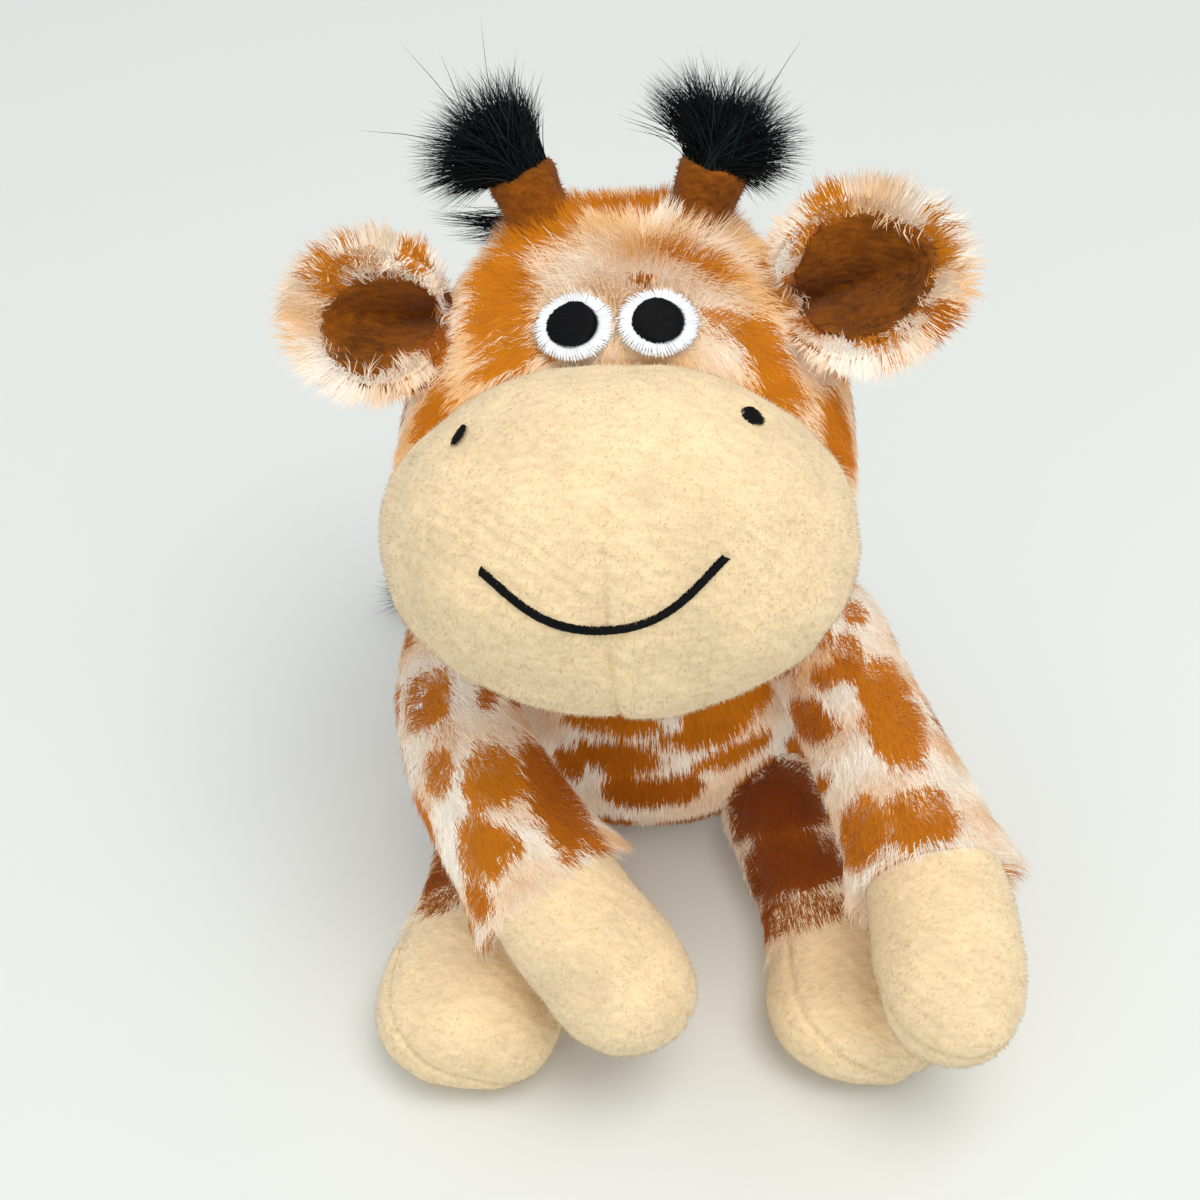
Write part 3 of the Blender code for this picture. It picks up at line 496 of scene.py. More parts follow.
def bundle(name, lines, widths, tints, sides, rng, finish, root_painted_shade=0.72, facings=None):
    """One mesh of many tapering strands.

    lines holds each strand's centre line, root first; widths its width at each level but the tip.
    Two sides make a flat fibre, whose flat side faces the given way. Each strand is dyed darker towards its
    root, as painted shade under the strands around it.
    """
    count, levels, _ = lines.shape
    along = unit(lines[:, -1] - lines[:, 0])
    if facings is None:
        across = unit(np.cross(along, rng.normal(size=(count, 3))))
        over = np.cross(along, across)
    else:
        flat = unit(np.cross(facings, along))
        twist = rng.uniform(-MOST_TWIST, MOST_TWIST, (count, 1))
        across = flat * np.cos(twist) + np.cross(along, flat) * np.sin(twist)
        over = np.cross(along, across)
    turns = 2 * math.pi * np.arange(sides) / sides
    folds = 1 if sides == 2 else sides
    ring = np.cos(turns)[:, None] * across[:, None] + np.sin(turns)[:, None] * over[:, None]
    rings = lines[:, :-1, None] + ring[:, None] * (widths / 2)[:, :, None, None]
    points = np.concatenate([rings.reshape(count, -1, 3), lines[:, -1:]], 1)
    points[:, :, 2] = np.maximum(points[:, :, 2], rng.uniform(0, 0.3, (count, 1)) * MM)
    per = points.shape[1]
    tip = per - 1
    faces = []
    for level in range(levels - 2):
        for j in range(folds):
            low, low_next = level * sides + j, level * sides + (j + 1) % sides
            faces += [(low, low_next, low_next + sides), (low, low_next + sides, low + sides)]
    last = (levels - 2) * sides
    faces += [(last + j, last + (j + 1) % sides, tip) for j in range(folds)]
    faces = np.array(faces)
    corners = (np.arange(count)[:, None, None] * per + faces).reshape(-1)
    data = bpy.data.meshes.new(name)
    data.vertices.add(count * per)
    data.vertices.foreach_set("co", points.reshape(-1))
    data.loops.add(len(corners))
    data.loops.foreach_set("vertex_index", corners)
    data.polygons.add(len(corners) // 3)
    data.polygons.foreach_set("loop_start", np.arange(0, len(corners), 3))
    data.update(calc_edges=True)
    shares = np.append(np.repeat(np.arange(levels - 1), sides), levels - 1) / (levels - 1)
    # Painted shade: the dye darkens towards the root, where the strands around it would hold light back
    shade = root_painted_shade + (1 - root_painted_shade) * shares
    colours = tints[:, None] * shade[None, :, None]
    set_dye(data, np.clip(colours, 0, 1).reshape(-1, 3))
    set_strand_map(data, lines[:, 0], shares, sides, corners)
    data.shade_smooth()
    data.materials.append(finish)
    made = bpy.data.objects.new(name, data)
    bpy.context.scene.collection.objects.link(made)
    return made


# The size of one strand on the flat map, whose sides are 1 long
MAP_STRAND_LENGTH = 0.0030
MAP_STRAND_WIDTH = 0.0008
MAP_SHARE = 0.98


def set_strand_map(data, roots, shares, sides, corners):
    """Lays each strand out flat where its root lies on the unrolled surface."""
    centre, axes = principal(roots)
    away = (roots - centre) @ axes.T
    reach = np.abs(away[:, 0]).max() + 1e-9
    turns = np.arctan2(away[:, 1], away[:, 2]) / (2 * math.pi)
    low = np.stack([turns + 0.5, away[:, 0] / reach / 2 + 0.5], 1)
    beside = np.append(np.tile(np.arange(sides), len(shares) // sides), sides / 2) - sides / 2
    spots = low[:, None] * MAP_SHARE + (1 - MAP_SHARE) / 2
    spots = spots + np.stack([beside * MAP_STRAND_WIDTH, shares * MAP_STRAND_LENGTH], 1)[None]
    flat = np.clip(spots.reshape(-1, 2), 0, 1)
    layer = data.uv_layers.new(name="OFBake")
    layer.data.foreach_set("uv", flat[corners].reshape(-1))


# Locks gather on one side of a thin piece only
SIDES_APART = 5 * MM
LOCK_GAP = 2.2 * MM
LOCK_CORE = 0.9 * MM
DROOP = 0.06


def grown(roots, normals, ways, lengths, lift, rng, gather=0.5, stray=0.12):
    """Centre lines of pile: each strand rises, leans the combed way and gathers into locks."""
    count = len(roots)
    ways = unit(ways - normals * (ways * normals).sum(1, keepdims=True))
    lean = unit(normals * lift + ways * (1 - lift) + rng.normal(size=(count, 3)) * stray)
    rise = unit(normals * (lift + 0.35) + ways * (0.65 - lift) + rng.normal(size=(count, 3)) * stray * 0.5)
    lengths = lengths[:, None]
    middle = roots + rise * lengths * 0.5
    tips = middle + unit(lean - np.array([0, 0, DROOP])) * lengths * 0.5
    seeds = rng.choice(count, max(1, int(count * (LOCK_CORE / LOCK_GAP) ** 2)), replace=False)
    apart = roots + normals * SIDES_APART
    finder = KDTree(len(seeds))
    for i, seed in enumerate(seeds):
        finder.insert(Vector(apart[seed]), i)
    finder.balance()
    nearest = np.array([finder.find(Vector(spot))[1] for spot in apart])
    pull = gather * rng.uniform(0.4, 1.0, count)[:, None]
    tips = tips * (1 - pull) + tips[seeds[nearest]] * pull
    return np.stack([roots, middle, tips], 1)


def hull_planes(node):
    """The planes round a node's hull: each one's outward normal and its distance along it."""
    mesh = hull(node)
    middle = np.array([v.co for v in mesh.verts]).mean(0)
    planes = np.array([[*face.normal, face.normal.dot(face.verts[0].co)] for face in mesh.faces])
    planes[planes[:, :3] @ middle > planes[:, 3]] *= -1
    return planes


def buried(points, planes, depth):
    """True for each point that lies this deep or deeper inside a hull."""
    return (points @ planes[:, :3].T - planes[:, 3]).max(1) < -depth


# Printed coat: orange-brown spots on cream, first those seen in the photograph, then others

SPOT_SPACING = 12.5 * MM
SPOT_RADIUS = 8.0 * MM
SHOWN_MARGIN = 5.0 * MM
PATCH_LINE = 3.2 * MM
PATCH_SEEDS_PER_MM2 = 0.6
# How square an oval spot is: 2 is a plain oval
SPOT_POWER = 2.3
CLEARANCE = 5 * MM
# The backing's print is dyed this much darker: painted shade under the pile
BACKING_PAINTED_SHADE = 0.92


class Coat:
    """Spots of one printed piece, each an oval that lies on its surface."""

    def __init__(self, piece, node, seen, rng, size=SPOT_RADIUS, barred=None, peach=0.25):
        self.spots = []
        self.peach = peach
        tree = tree_of(copied(node))
        points, normals = points_of(piece), normals_of(piece)
        shown_x, shown_y, _ = pixels(points)
        turned = (normals * (np.array(CAMERA_PLACE) - points)).sum(1) < 0
        for px, py, half_width, half_height, tilt, shade in seen:
            way = ray(px, py)
            place, normal, _, distance = tree.ray_cast(CAMERA_PLACE, way)
            if place is None:
                nearest = np.argmin(np.hypot(shown_x - px, shown_y - py) + np.where(turned, PHOTO_SIDE, 0))
                distance = (Vector(points[nearest]) - CAMERA_PLACE).dot(way)
                place, normal = CAMERA_PLACE + way * distance, Vector(normals[nearest])
            side = (CAMERA_RIGHT - normal * normal.dot(CAMERA_RIGHT)).normalized()
            over = normal.cross(side)
            half_width *= distance / FOCUS_PX / max(side.dot(CAMERA_RIGHT), LEAST_SLOPE)
            half_height *= distance / FOCUS_PX / max(abs(over.dot(CAMERA_UP)), LEAST_SLOPE)
            turn = math.radians(tilt)
            first = side * math.cos(turn) + over * math.sin(turn)
            second = over * math.cos(turn) - side * math.sin(turn)
            self.spots.append((place, normal, first, second, half_width, half_height, shade))
        points, normals = sampled(piece, PATCH_SEEDS_PER_MM2, rng)
        hidden = ~in_sight(points, normals, CLEARANCE)
        shown = points[~hidden]
        if barred is not None:
            hidden &= ~barred(points)
        self.patches = np.empty((0, 3))
        for point in points[hidden]:
            if len(shown) and np.linalg.norm(shown - point, axis=1).min() < SHOWN_MARGIN:
                continue
            if len(self.patches) and np.linalg.norm(self.patches - point, axis=1).min() < SPOT_SPACING:
                continue
            self.patches = np.vstack([self.patches, point])
        self.patch_shades = rng.uniform(0.1, 0.45, len(self.patches))
        self.patch_radii = size * rng.uniform(0.85, 1.15, len(self.patches))

    def patched(self, points, noise):
        """Which patch of the unseen sides each point lies in, or -1 on the cream lines between them."""
        if len(self.patches) < 2:
            return np.full(len(points), -1)
        squares = (points ** 2).sum(1)[:, None] - 2 * points @ self.patches.T + (self.patches ** 2).sum(1)
        far = np.sqrt(np.maximum(squares, 0))
        order = np.argpartition(far, 1, axis=1)
        rows = np.arange(len(points))
        nearest = order[:, 0]
        first, second = far[rows, nearest], far[rows, order[:, 1]]
        inside = (second - first > PATCH_LINE + noise * MM) & (first + noise * MM < self.patch_radii[nearest])
        return np.where(inside, nearest, -1)

    def tints(self, points, rng, edge=0.12):
        """The dye at each point, with a slightly broken edge round each spot."""
        points = np.asarray(points)
        peach = (self.peach + 0.35 * smooth_noise(points, 16 * MM, 3))[:, None].clip(0, 1)
        out = CREAM_PILE + (PEACH_PILE - CREAM_PILE) * peach
        wobble = 0.10 * smooth_noise(points, 8 * MM, 5) + 0.04 * smooth_noise(points, 3 * MM, 6)
        best = np.full(len(points), np.inf)
        gap = np.full(len(points), np.inf)
        shades = np.zeros(len(points))
        for place, normal, first, second, half_width, half_height, shade in self.spots:
            away = points - np.array(place)
            u = away @ np.array(first) / half_width
            v = away @ np.array(second) / half_height
            w = away @ np.array(normal) / max(half_width, half_height, 5 * MM)
            far = sum(np.abs(part) ** SPOT_POWER for part in (u, v, w)) ** (1 / SPOT_POWER) + wobble
            gap = np.minimum(gap, (far - 1) * min(half_width, half_height))
            far = far + rng.normal(size=len(points)) * edge * 0.5
            closer = (far < 1) & (far < best)
            shades[closer] = shade
            best[closer] = far[closer]
        spotted = best < 1
        patch = self.patched(points, rng.normal(size=len(points)) * edge * 2.5 + wobble * 5)
        patch[spotted | (gap < PATCH_LINE)] = -1
        shades[patch >= 0] = self.patch_shades[patch[patch >= 0]] if len(self.patches) else 0
        best[patch >= 0] = 0.5
        inked = spotted | (patch >= 0)
        light = np.clip(shades[inked, None] * 2, 0, 1)
        deep = np.clip(shades[inked, None] * 2 - 1, 0, 1)
        # Shades past 0.5 run towards brown, which is partly the print's darker spots and partly painted shade
        dye = ORANGE_PILE + (RUST_PILE - ORANGE_PILE) * light + (BROWN_PILE_AND_PAINTED_SHADE - RUST_PILE) * deep
        rim = np.clip((best[inked, None] - 0.55) / 0.45, 0, 1) * 0.25
        out[inked] = dye * (1 - rim) + ORANGE_PILE * rim
        return out

    def paint(self, piece):
        """Gives the backing cloth the same print, a little darker as painted shade between the locks."""
        tints = self.tints(points_of(piece), np.random.default_rng(SEED), 0)
        set_dye(piece.data, tints * BACKING_PAINTED_SHADE)


def uneven(tints, rng, spread=0.08):
    """Each strand a little lighter or darker than its neighbours."""
    return tints * np.clip(1 + rng.normal(size=(len(tints), 1)) * spread, 0.6, 1.35)


def dress(piece, body, slot, *nodes, fill=None):
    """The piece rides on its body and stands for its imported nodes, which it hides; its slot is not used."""
    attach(piece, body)
    if nodes:
        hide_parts(*nodes)
    return piece


# Building each cloth and what stands on it

DENSITY = 5.6
NAP_DENSITY = 1.7
MOST_STRANDS = 60000
PILE_TAPER = np.array([1.0, 0.82])


def dice(name):
    """The same random numbers for a piece in every run."""
    return np.random.default_rng([SEED, *name.encode()])


def smoothed(name, mesh, finish, subdivisions, rounds, sink):
    """A smooth sheet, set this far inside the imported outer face."""
    piece = as_object(name, mesh, finish)
    step(piece, "SUBSURF", levels=subdivisions, render_levels=subdivisions)
    if rounds:
        step(piece, "SMOOTH", factor=0.5, iterations=rounds)
    settled(piece)
    set_points(piece, points_of(piece) - normals_of(piece) * sink)
    return piece


def rounded(name, mesh, finish, sink):
    """A closed backing remeshed from a hull, set this far inside it."""
    piece = as_object(name, mesh, finish)
    step(piece, "REMESH", mode="VOXEL", voxel_size=BACKING_VOXEL)
    step(piece, "SMOOTH", factor=0.6, iterations=6)
    settled(piece)
    set_points(piece, points_of(piece) - normals_of(piece) * sink)
    return piece


def open_edge(piece):
    """Centre of a cloth's open edge, and the way out through it."""
    mesh = bmesh_of(piece)
    rim = np.array([v.co for v in mesh.verts if v.is_boundary])
    mesh.free()
    centre, axes = principal(rim)
    way = axes[2]
    return centre, way if way @ (centre - points_of(piece).mean(0)) > 0 else -way


def trimmed(piece, centre, way):
    """Cuts the cloth off at a plane."""
    mesh = bmesh_of(piece)
    geometry = mesh.verts[:] + mesh.edges[:] + mesh.faces[:]
    bmesh.ops.bisect_plane(mesh, geom=geometry, plane_co=centre, plane_no=way, clear_outer=True)
    mesh.to_mesh(piece.data)
    mesh.free()
    piece.data.shade_smooth()


def tucked(mesh, back, inward):
    """Carries a sheet's open edge back under the cloth beside it."""
    rim = [e for e in mesh.edges if e.is_boundary]
    rim_points = np.array([v.co for e in rim for v in e.verts])
    centre, axes = principal(rim_points)
    middle = np.array([v.co for v in mesh.verts]).mean(0)
    way = axes[2] if axes[2] @ (centre - middle) > 0 else -axes[2]
    grown_edge = bmesh.ops.extrude_edge_only(mesh, edges=rim)["geom"]
    for item in grown_edge:
        if isinstance(item, bmesh.types.BMVert):
            towards = (Vector(centre) - item.co).normalized()
            item.co += Vector(way) * back + towards * inward
    bmesh.ops.recalc_face_normals(mesh, faces=mesh.faces)
    return mesh


def doubled(piece, thickness):
    """Gives a cloth its thickness, inward."""
    step(piece, "SOLIDIFY", thickness=thickness, offset=-1)


def split_pile(
    name, cloth, coat, comb, body, keep=None, clear=None, per_mm2=DENSITY, length=PILE_LENGTH,
    lift=0.22, stretch=None, edge=0.12, **locks,
):
    """The pile of one cloth, in as many pieces as it needs, each round its own side.

    keep chooses roots and clear chooses finished strands; comb gives the way they lean. lift may be
    a number or depend on the place, as stretch does. edge says how broken the print's edges are.
    """
    rng = dice(name)
    roots, normals = sampled(cloth, per_mm2, rng)
    if keep is not None:
        kept = keep(roots, normals)
        roots, normals = roots[kept], normals[kept]
    lengths = length * rng.uniform(0.72, 1.15, len(roots))
    lifts = lift(roots) if callable(lift) else np.full(len(roots), lift)
    if stretch is not None:
        lengths = lengths * stretch(roots)
    lines = grown(roots, normals, comb(roots), lengths, lifts[:, None], rng, **locks)
    if clear is not None:
        kept = clear(lines)
        lines, roots, normals = lines[kept], roots[kept], normals[kept]
    widths = PILE_WIDTH * rng.uniform(0.65, 1.2, (len(roots), 1)) * PILE_TAPER
    printed = lines[:, 2] * PRINT_SHARE + roots * (1 - PRINT_SHARE)
    tints = uneven(coat.tints(printed, rng, edge), rng)
    parts = -(-len(roots) // MOST_STRANDS)
    centre = roots.mean(0)
    turn = np.arctan2(roots[:, 0] - centre[0], roots[:, 1] - centre[1])
    order = np.argsort(turn)
    for i, share in enumerate(np.array_split(order, parts)):
        label = name if parts == 1 else f"{name}_{i + 1}"
        fur = bundle(label, lines[share], widths[share], tints[share], 2, rng, PILE, 0.95, normals[share])
        # Fine polyester lets light through, so only the cloth under it holds light back
        fur.visible_shadow = False
        fur.visible_diffuse = False
        dress(fur, body, "pile")


def nap(name, cloth, body, slot, tint, density=NAP_DENSITY, keep=None):
    """Short velour nap, which softens the cloth's outline."""
    rng = dice(name)
    roots, normals = sampled(cloth, density, rng)
    if keep is not None:
        kept = keep(roots, normals)
        roots, normals = roots[kept], normals[kept]
    count = len(roots)
    ways = normals + rng.normal(size=(count, 3)) * 0.35 + np.array([0, 0, -0.35])
    tips = roots + unit(ways) * (NAP_LENGTH * rng.uniform(0.6, 1.1, count))[:, None]
    lines = np.stack([roots - normals * NAP_WIDTH, tips], 1)
    widths = NAP_WIDTH * rng.uniform(0.8, 1.3, (count, 1))
    shades = np.tile(tint, (count, 1)) * (1 + 0.06 * smooth_noise(roots, 9 * MM, 11))[:, None]
    fuzz = bundle(name, lines, widths, uneven(shades, rng, 0.05), 3, rng, NAP, 0.9)
    dress(fuzz, body, slot)


# Torso

# Each spot: pixel across and down, half its width and height in pixels, tilt in degrees, and its
# shade from 0 for orange past 0.5 for rust to 1 for brown, whose darkest reaches are partly painted shade
BELLY_SPOTS = (
    (610, 727, 52, 20, 0, 0.3), (616, 767, 48, 17, 0, 0.4), (650, 803, 54, 16, 0, 0.5),
    (738, 706, 58, 23, 4, 0.2), (714, 742, 53, 14, 8, 0.3), (738, 762, 40, 12, 10, 0.3),
    (750, 784, 44, 13, 12, 0.4), (700, 823, 40, 10, 4, 0.5), (560, 700, 30, 14, 0, 0.3),
    (668, 704, 26, 9, 0, 0.3), (566, 772, 16, 18, 0, 0.4),
)

torso_cloth = rounded("torso_cloth", hull("torso_skin"), BACKING, PILE_DEPTH)
torso_coat = Coat(torso_cloth, "torso_skin", BELLY_SPOTS, dice("torso_coat"))
torso_coat.paint(torso_cloth)
SIDES = ("left", "right")
SOCKETS = [joint_place(f"{limb}_{side}_swing")[0] for limb in ("arm", "leg") for side in SIDES]
SOCKET_RADIUS = 14 * MM
NECK_RADIUS = 40 * MM


def off_sockets(roots, normals):
    """True where a root isn't hidden inside a limb or the neck."""
    free = np.ones(len(roots), bool)
    for socket in SOCKETS:
        free &= np.linalg.norm(roots - socket, axis=1) > SOCKET_RADIUS
    return free & (np.linalg.norm(roots - HEAD_CENTRE, axis=1) > NECK_RADIUS)


split_pile(
    "torso_pile", torso_cloth, torso_coat, lambda roots: np.tile([0.0, 0.0, -1.0], (len(roots), 1)),
    "torso", keep=off_sockets, per_mm2=DENSITY * 0.85, gather=0.3, length=4.8 * MM,
)
dress(torso_cloth, "torso", "pile", "torso_skin", fill=0.7)


# Head

HEAD_SPOTS = (
    (488, 298, 36, 64, 0, 0.15), (538, 232, 40, 28, -20, 0.15), (620, 203, 66, 15, 0, 0.3),
    (706, 260, 46, 17, -12, 0.05), (779, 362, 24, 54, 34, 0.2), (726, 322, 24, 10, 8, 0.1),
    (500, 366, 44, 10, 12, 0.1), (424, 436, 24, 38, 0, 0.3), (849, 446, 22, 46, -15, 0.25),
    (641, 283, 18, 6, 0, 0.3),
)
# The pixel that the head's pile is combed away from
STAR_PX = (645, 245)
MUZZLE_SEAM_AHEAD = 32 * MM


def on_face(points):
    """True for places on the front of the head, where the photograph shows every spot."""
    own = in_head(points)
    return (own[:, 1] < -8 * MM) & (own[:, 2] > -5 * MM)


head_cloth = rounded("head_cloth", hull("head_skin"), BACKING, PILE_DEPTH)
head_coat = Coat(head_cloth, "head_skin", HEAD_SPOTS, dice("head_coat"), barred=on_face, peach=0.7)
head_coat.paint(head_cloth)
star_point = np.array(tree_of(bmesh_of(head_cloth)).ray_cast(CAMERA_PLACE, ray(*STAR_PX))[0])
muzzle_planes = hull_planes("muzzle_skin")
HORN_BASES = [node_points(f"horn_{side}").mean(0) for side in SIDES]
HORN_CLEARANCE = 7 * MM

THREAD = 0.34 * MM
EYE_RADIUS = 8.2 * MM
PUPIL_RADIUS = 5.1 * MM
# The discs are moved in their own plane, sunk into the pile and backed by a plug
EYE_SHIFT = (1.2 * MM, -0.5 * MM)
EYE_GROWTH = 1.07
# Each disc is worked a little wider than tall
EYE_FLATNESS = 0.9
EYE_SINK = 2.1 * MM
EYE_PLUG = 3.0 * MM
EYE_PLUG_SHARE = 0.75
EYE_STITCHES = 150


def eye_frame(side, node):
    """Centre, facing and two directions in the plane of an embroidered disc."""
    centre, axes = principal(node_points(f"eye_{side}_{node}"))
    facing = axes[2] if axes[2] @ (centre - HEAD_CENTRE) > 0 else -axes[2]
    across = unit(np.cross(HEAD_UP, facing))
    across = across if across @ HEAD_SIDE > 0 else -across
    over = np.cross(facing, across)
    centre = centre + across * EYE_SHIFT[0] + over * EYE_SHIFT[1] - facing * EYE_SINK
    return centre, facing, across, over


EYES = [eye_frame(side, "white") for side in SIDES]


def on_head(roots, normals):
    """True where the head's pile isn't under the muzzle, an eye or a horn."""
    free = in_head(roots)[:, 1] > -MUZZLE_SEAM_AHEAD - 6 * MM
    for centre, *_ in EYES:
        free &= np.linalg.norm(roots - centre, axis=1) > EYE_RADIUS - 0.8 * MM
    for centre in HORN_BASES:
        free &= np.linalg.norm(roots - centre, axis=1) > HORN_CLEARANCE
    return free


def head_lift(roots):
    """Pile stands up on the crown, round the horns and where the muzzle pushes it aside."""
    own = in_head(roots)
    lift = 0.2 + 0.35 * np.clip((own[:, 2] - 30 * MM) / (10 * MM), 0, 1)
    lift += 0.35 * np.clip((-own[:, 1] - 20 * MM) / (10 * MM), 0, 1) * (own[:, 2] < 15 * MM)
    for centre in HORN_BASES:
        near = np.linalg.norm(roots - centre, axis=1)
        lift = np.maximum(lift, 0.75 * np.exp(-(np.maximum(near - 13 * MM, 0) / (3 * MM)) ** 2))
    return lift


def crown_stretch(roots):
    """Longer pile on the crown and round the horns."""
    stretch = 1 + 0.25 * np.clip((in_head(roots)[:, 2] - 30 * MM) / (10 * MM), 0, 1)
    for centre in HORN_BASES:
        near = np.linalg.norm(roots - centre, axis=1)
        stretch += 0.35 * np.exp(-(np.maximum(near - 12 * MM, 0) / (3 * MM)) ** 2)
    return stretch


def off_face(lines):
    """True for pile whose tips stay clear of the muzzle and the eyes."""
    tips = lines[:, -1]
    free = ~buried(tips, muzzle_planes, 0.6 * MM)
    for centre, *_ in EYES:
        free &= np.linalg.norm(tips - centre, axis=1) > EYE_RADIUS - 0.2 * MM
    return free


split_pile(
    "head_pile", head_cloth, head_coat, lambda roots: roots - star_point, "head",
    keep=on_head, clear=off_face, lift=head_lift, gather=0.5, edge=0.28, stretch=crown_stretch,
)
dress(head_cloth, "head", "pile", "head_skin", fill=0.7)


# Muzzle

# The centre seam, and the two pixels where its stitches pinch the velour
SEAM_DEPTH = 0.9 * MM
SEAM_HALF_WIDTH = 0.9 * MM
SEAM_PINCHES_PX = ((600, 480), (601, 520))
PINCH_DEPTH = 0.9 * MM
PINCH_RADIUS = 2.6 * MM
# Each nostril: pixel across and down, half its width and length in pixels, tilt in degrees
NOSTRILS = {"left": (754, 416, 12, 12, 20), "right": (458.5, 435, 6, 12.5, -28)}
NOSTRIL_SINK = 0.6 * MM

muzzle_sheet = tucked(outer_sheet("muzzle_skin", "head_fill"), 2 * MM, 2 * MM)
muzzle = as_object("muzzle_cloth", muzzle_sheet, CREAM)
step(muzzle, "SUBSURF", levels=3, render_levels=3)
settled(muzzle)
muzzle_tree = tree_of(bmesh_of(muzzle))


def on_muzzle(px, py):
    """The place of the muzzle that shows at a pixel."""
    return np.array(muzzle_tree.ray_cast(CAMERA_PLACE, ray(px, py))[0])


pinches = [on_muzzle(*px) for px in SEAM_PINCHES_PX]
seam_side = in_head(np.array(pinches))[:, 0].mean()
points, normals = points_of(muzzle), normals_of(muzzle)
own = in_head(points)
beside = own[:, 0] - seam_side
low = np.clip((0.030 - own[:, 2]) / 0.03, 0.25, 1)
sunk = SEAM_DEPTH * low * np.exp(-(beside / SEAM_HALF_WIDTH) ** 2) * (own[:, 1] < -MUZZLE_SEAM_AHEAD)
sunk += 0.5 * MM * np.exp(-(beside / (5 * MM)) ** 2) * low
for place in pinches:
    sunk += PINCH_DEPTH * np.exp(-(np.linalg.norm(points - place, axis=1) / PINCH_RADIUS) ** 2)
for px, py, *_ in NOSTRILS.values():
    reach = np.linalg.norm(points - on_muzzle(px, py), axis=1)
    sunk += NOSTRIL_SINK * np.exp(-(reach / PINCH_RADIUS) ** 2)
lumps = 0.55 * MM * smooth_noise(points, 26 * MM, 21) + 0.15 * MM * smooth_noise(points, 9 * MM, 22)
set_points(muzzle, points + normals * (lumps - sunk)[:, None])
muzzle_face = tree_of(bmesh_of(muzzle))
nap(
    "muzzle_nap", muzzle, "head", "velour", CREAM_VELOUR,
    keep=lambda roots, normals: in_head(roots)[:, 1] < -26 * MM,
)
doubled(muzzle, 0.8 * MM)
dress(muzzle, "head", "velour", "muzzle_skin", fill=0.75)


# Embroidery

def on_disc(frame_of, u, v, height):
    """Points of the domed disc at these places in its plane, raised by a height."""
    centre, facing, across, over = frame_of
    flat = centre + np.multiply.outer(u, across) + np.multiply.outer(v, over)
    reach = np.linalg.norm(centre - HEAD_CENTRE)
    return HEAD_CENTRE + unit(flat - HEAD_CENTRE) * (reach + height)[..., None]


EYE_PARTS = (
    ("white", SATIN, "white_thread", WHITE_THREAD),
    ("pupil", BLACK_SATIN, "black_thread", BLACK_THREAD),
)


def eye(side):
    """A white disc of stitches laid outward, and a black pupil of stitches laid across."""
    rng = dice(f"eye_{side}")
    for part, finish, slot, tint in EYE_PARTS:
        pad = as_object(f"eye_{side}_{part}_pad", copied(f"eye_{side}_{part}"), finish)
        step(pad, "SUBSURF", levels=1, render_levels=1)
        settled(pad)
        middle = principal(node_points(f"eye_{side}_{part}"))[0]
        moved, facing, _, over = eye_frame(side, part)
        behind = normals_of(pad) @ facing < -0.3
        spread = moved + (points_of(pad) - middle) * EYE_GROWTH
        spread[behind] = moved + (spread[behind] - moved) * EYE_PLUG_SHARE - facing * EYE_PLUG
        spread -= np.outer((spread - moved) @ over * (1 - EYE_FLATNESS), over)
        set_points(pad, spread)
        # The pad shows only between and beside its stitches, and is dyed darker than their thread: painted shade
        set_dye(pad.data, tint * 0.85)
        dress(pad, "head", slot, f"eye_{side}_{part}")
    white = eye_frame(side, "white")
    count = EYE_STITCHES
    turns = 2 * math.pi * (np.arange(count) + rng.uniform(-0.2, 0.2, count)) / count
    inner = PUPIL_RADIUS - 0.3 * MM
    staggered = 0.3 * MM * np.where(np.arange(count) % 2, 1, -1)
    outer = EYE_RADIUS + staggered + rng.normal(size=count) * 0.28 * MM
    shares = np.linspace(0, 1, 5)
    skew = turns[:, None] + (shares - 0.5)[None] * 0.06
    radii = inner + (outer[:, None] - inner) * shares
    height = 1.05 * MM + 0.35 * MM * np.sin(math.pi * shares) ** 0.7
    u, v = radii * np.cos(skew), radii * np.sin(skew) * EYE_FLATNESS
    lines = on_disc(white, u, v, np.tile(height, (count, 1)))
    widths = np.tile(THREAD, (count, 4)) * rng.uniform(0.85, 1.1, (count, 1))
    tints = uneven(np.tile(WHITE_THREAD, (count, 1)), rng, 0.03)
    stitches = bundle(f"eye_{side}_white_stitches", lines, widths, tints, 5, rng, SATIN, 0.95)
    dress(stitches, "head", "white_thread")
    rows = np.arange(-PUPIL_RADIUS + THREAD / 2, PUPIL_RADIUS, THREAD * 0.72)
    half = np.sqrt(PUPIL_RADIUS ** 2 - rows ** 2) + rng.uniform(-0.15, 0.2, len(rows)) * MM
    shares = np.linspace(-1, 1, 9)
    slant = math.radians(8)
    u = half[:, None] * shares * math.cos(slant) - rows[:, None] * math.sin(slant)
    v = half[:, None] * shares * math.sin(slant) + rows[:, None] * math.cos(slant)
    height = 1.45 * MM + 0.55 * MM * np.sqrt(np.clip(1 - shares ** 4, 0, 1))
    pupil = eye_frame(side, "pupil")
    beside, above = (pupil[0] - white[0]) @ white[2], (pupil[0] - white[0]) @ white[3]
    lines = on_disc(white, u + beside, v * EYE_FLATNESS + above, np.tile(height, (len(rows), 1)))
    widths = np.tile(THREAD, (len(rows), 8))
    tints = uneven(np.tile(BLACK_THREAD, (len(rows), 1)), rng, 0.2)
    stitches = bundle(f"eye_{side}_pupil_stitches", lines, widths, tints, 5, rng, BLACK_SATIN, 1.0)
    dress(stitches, "head", "black_thread")


for side in SIDES:
    eye(side)


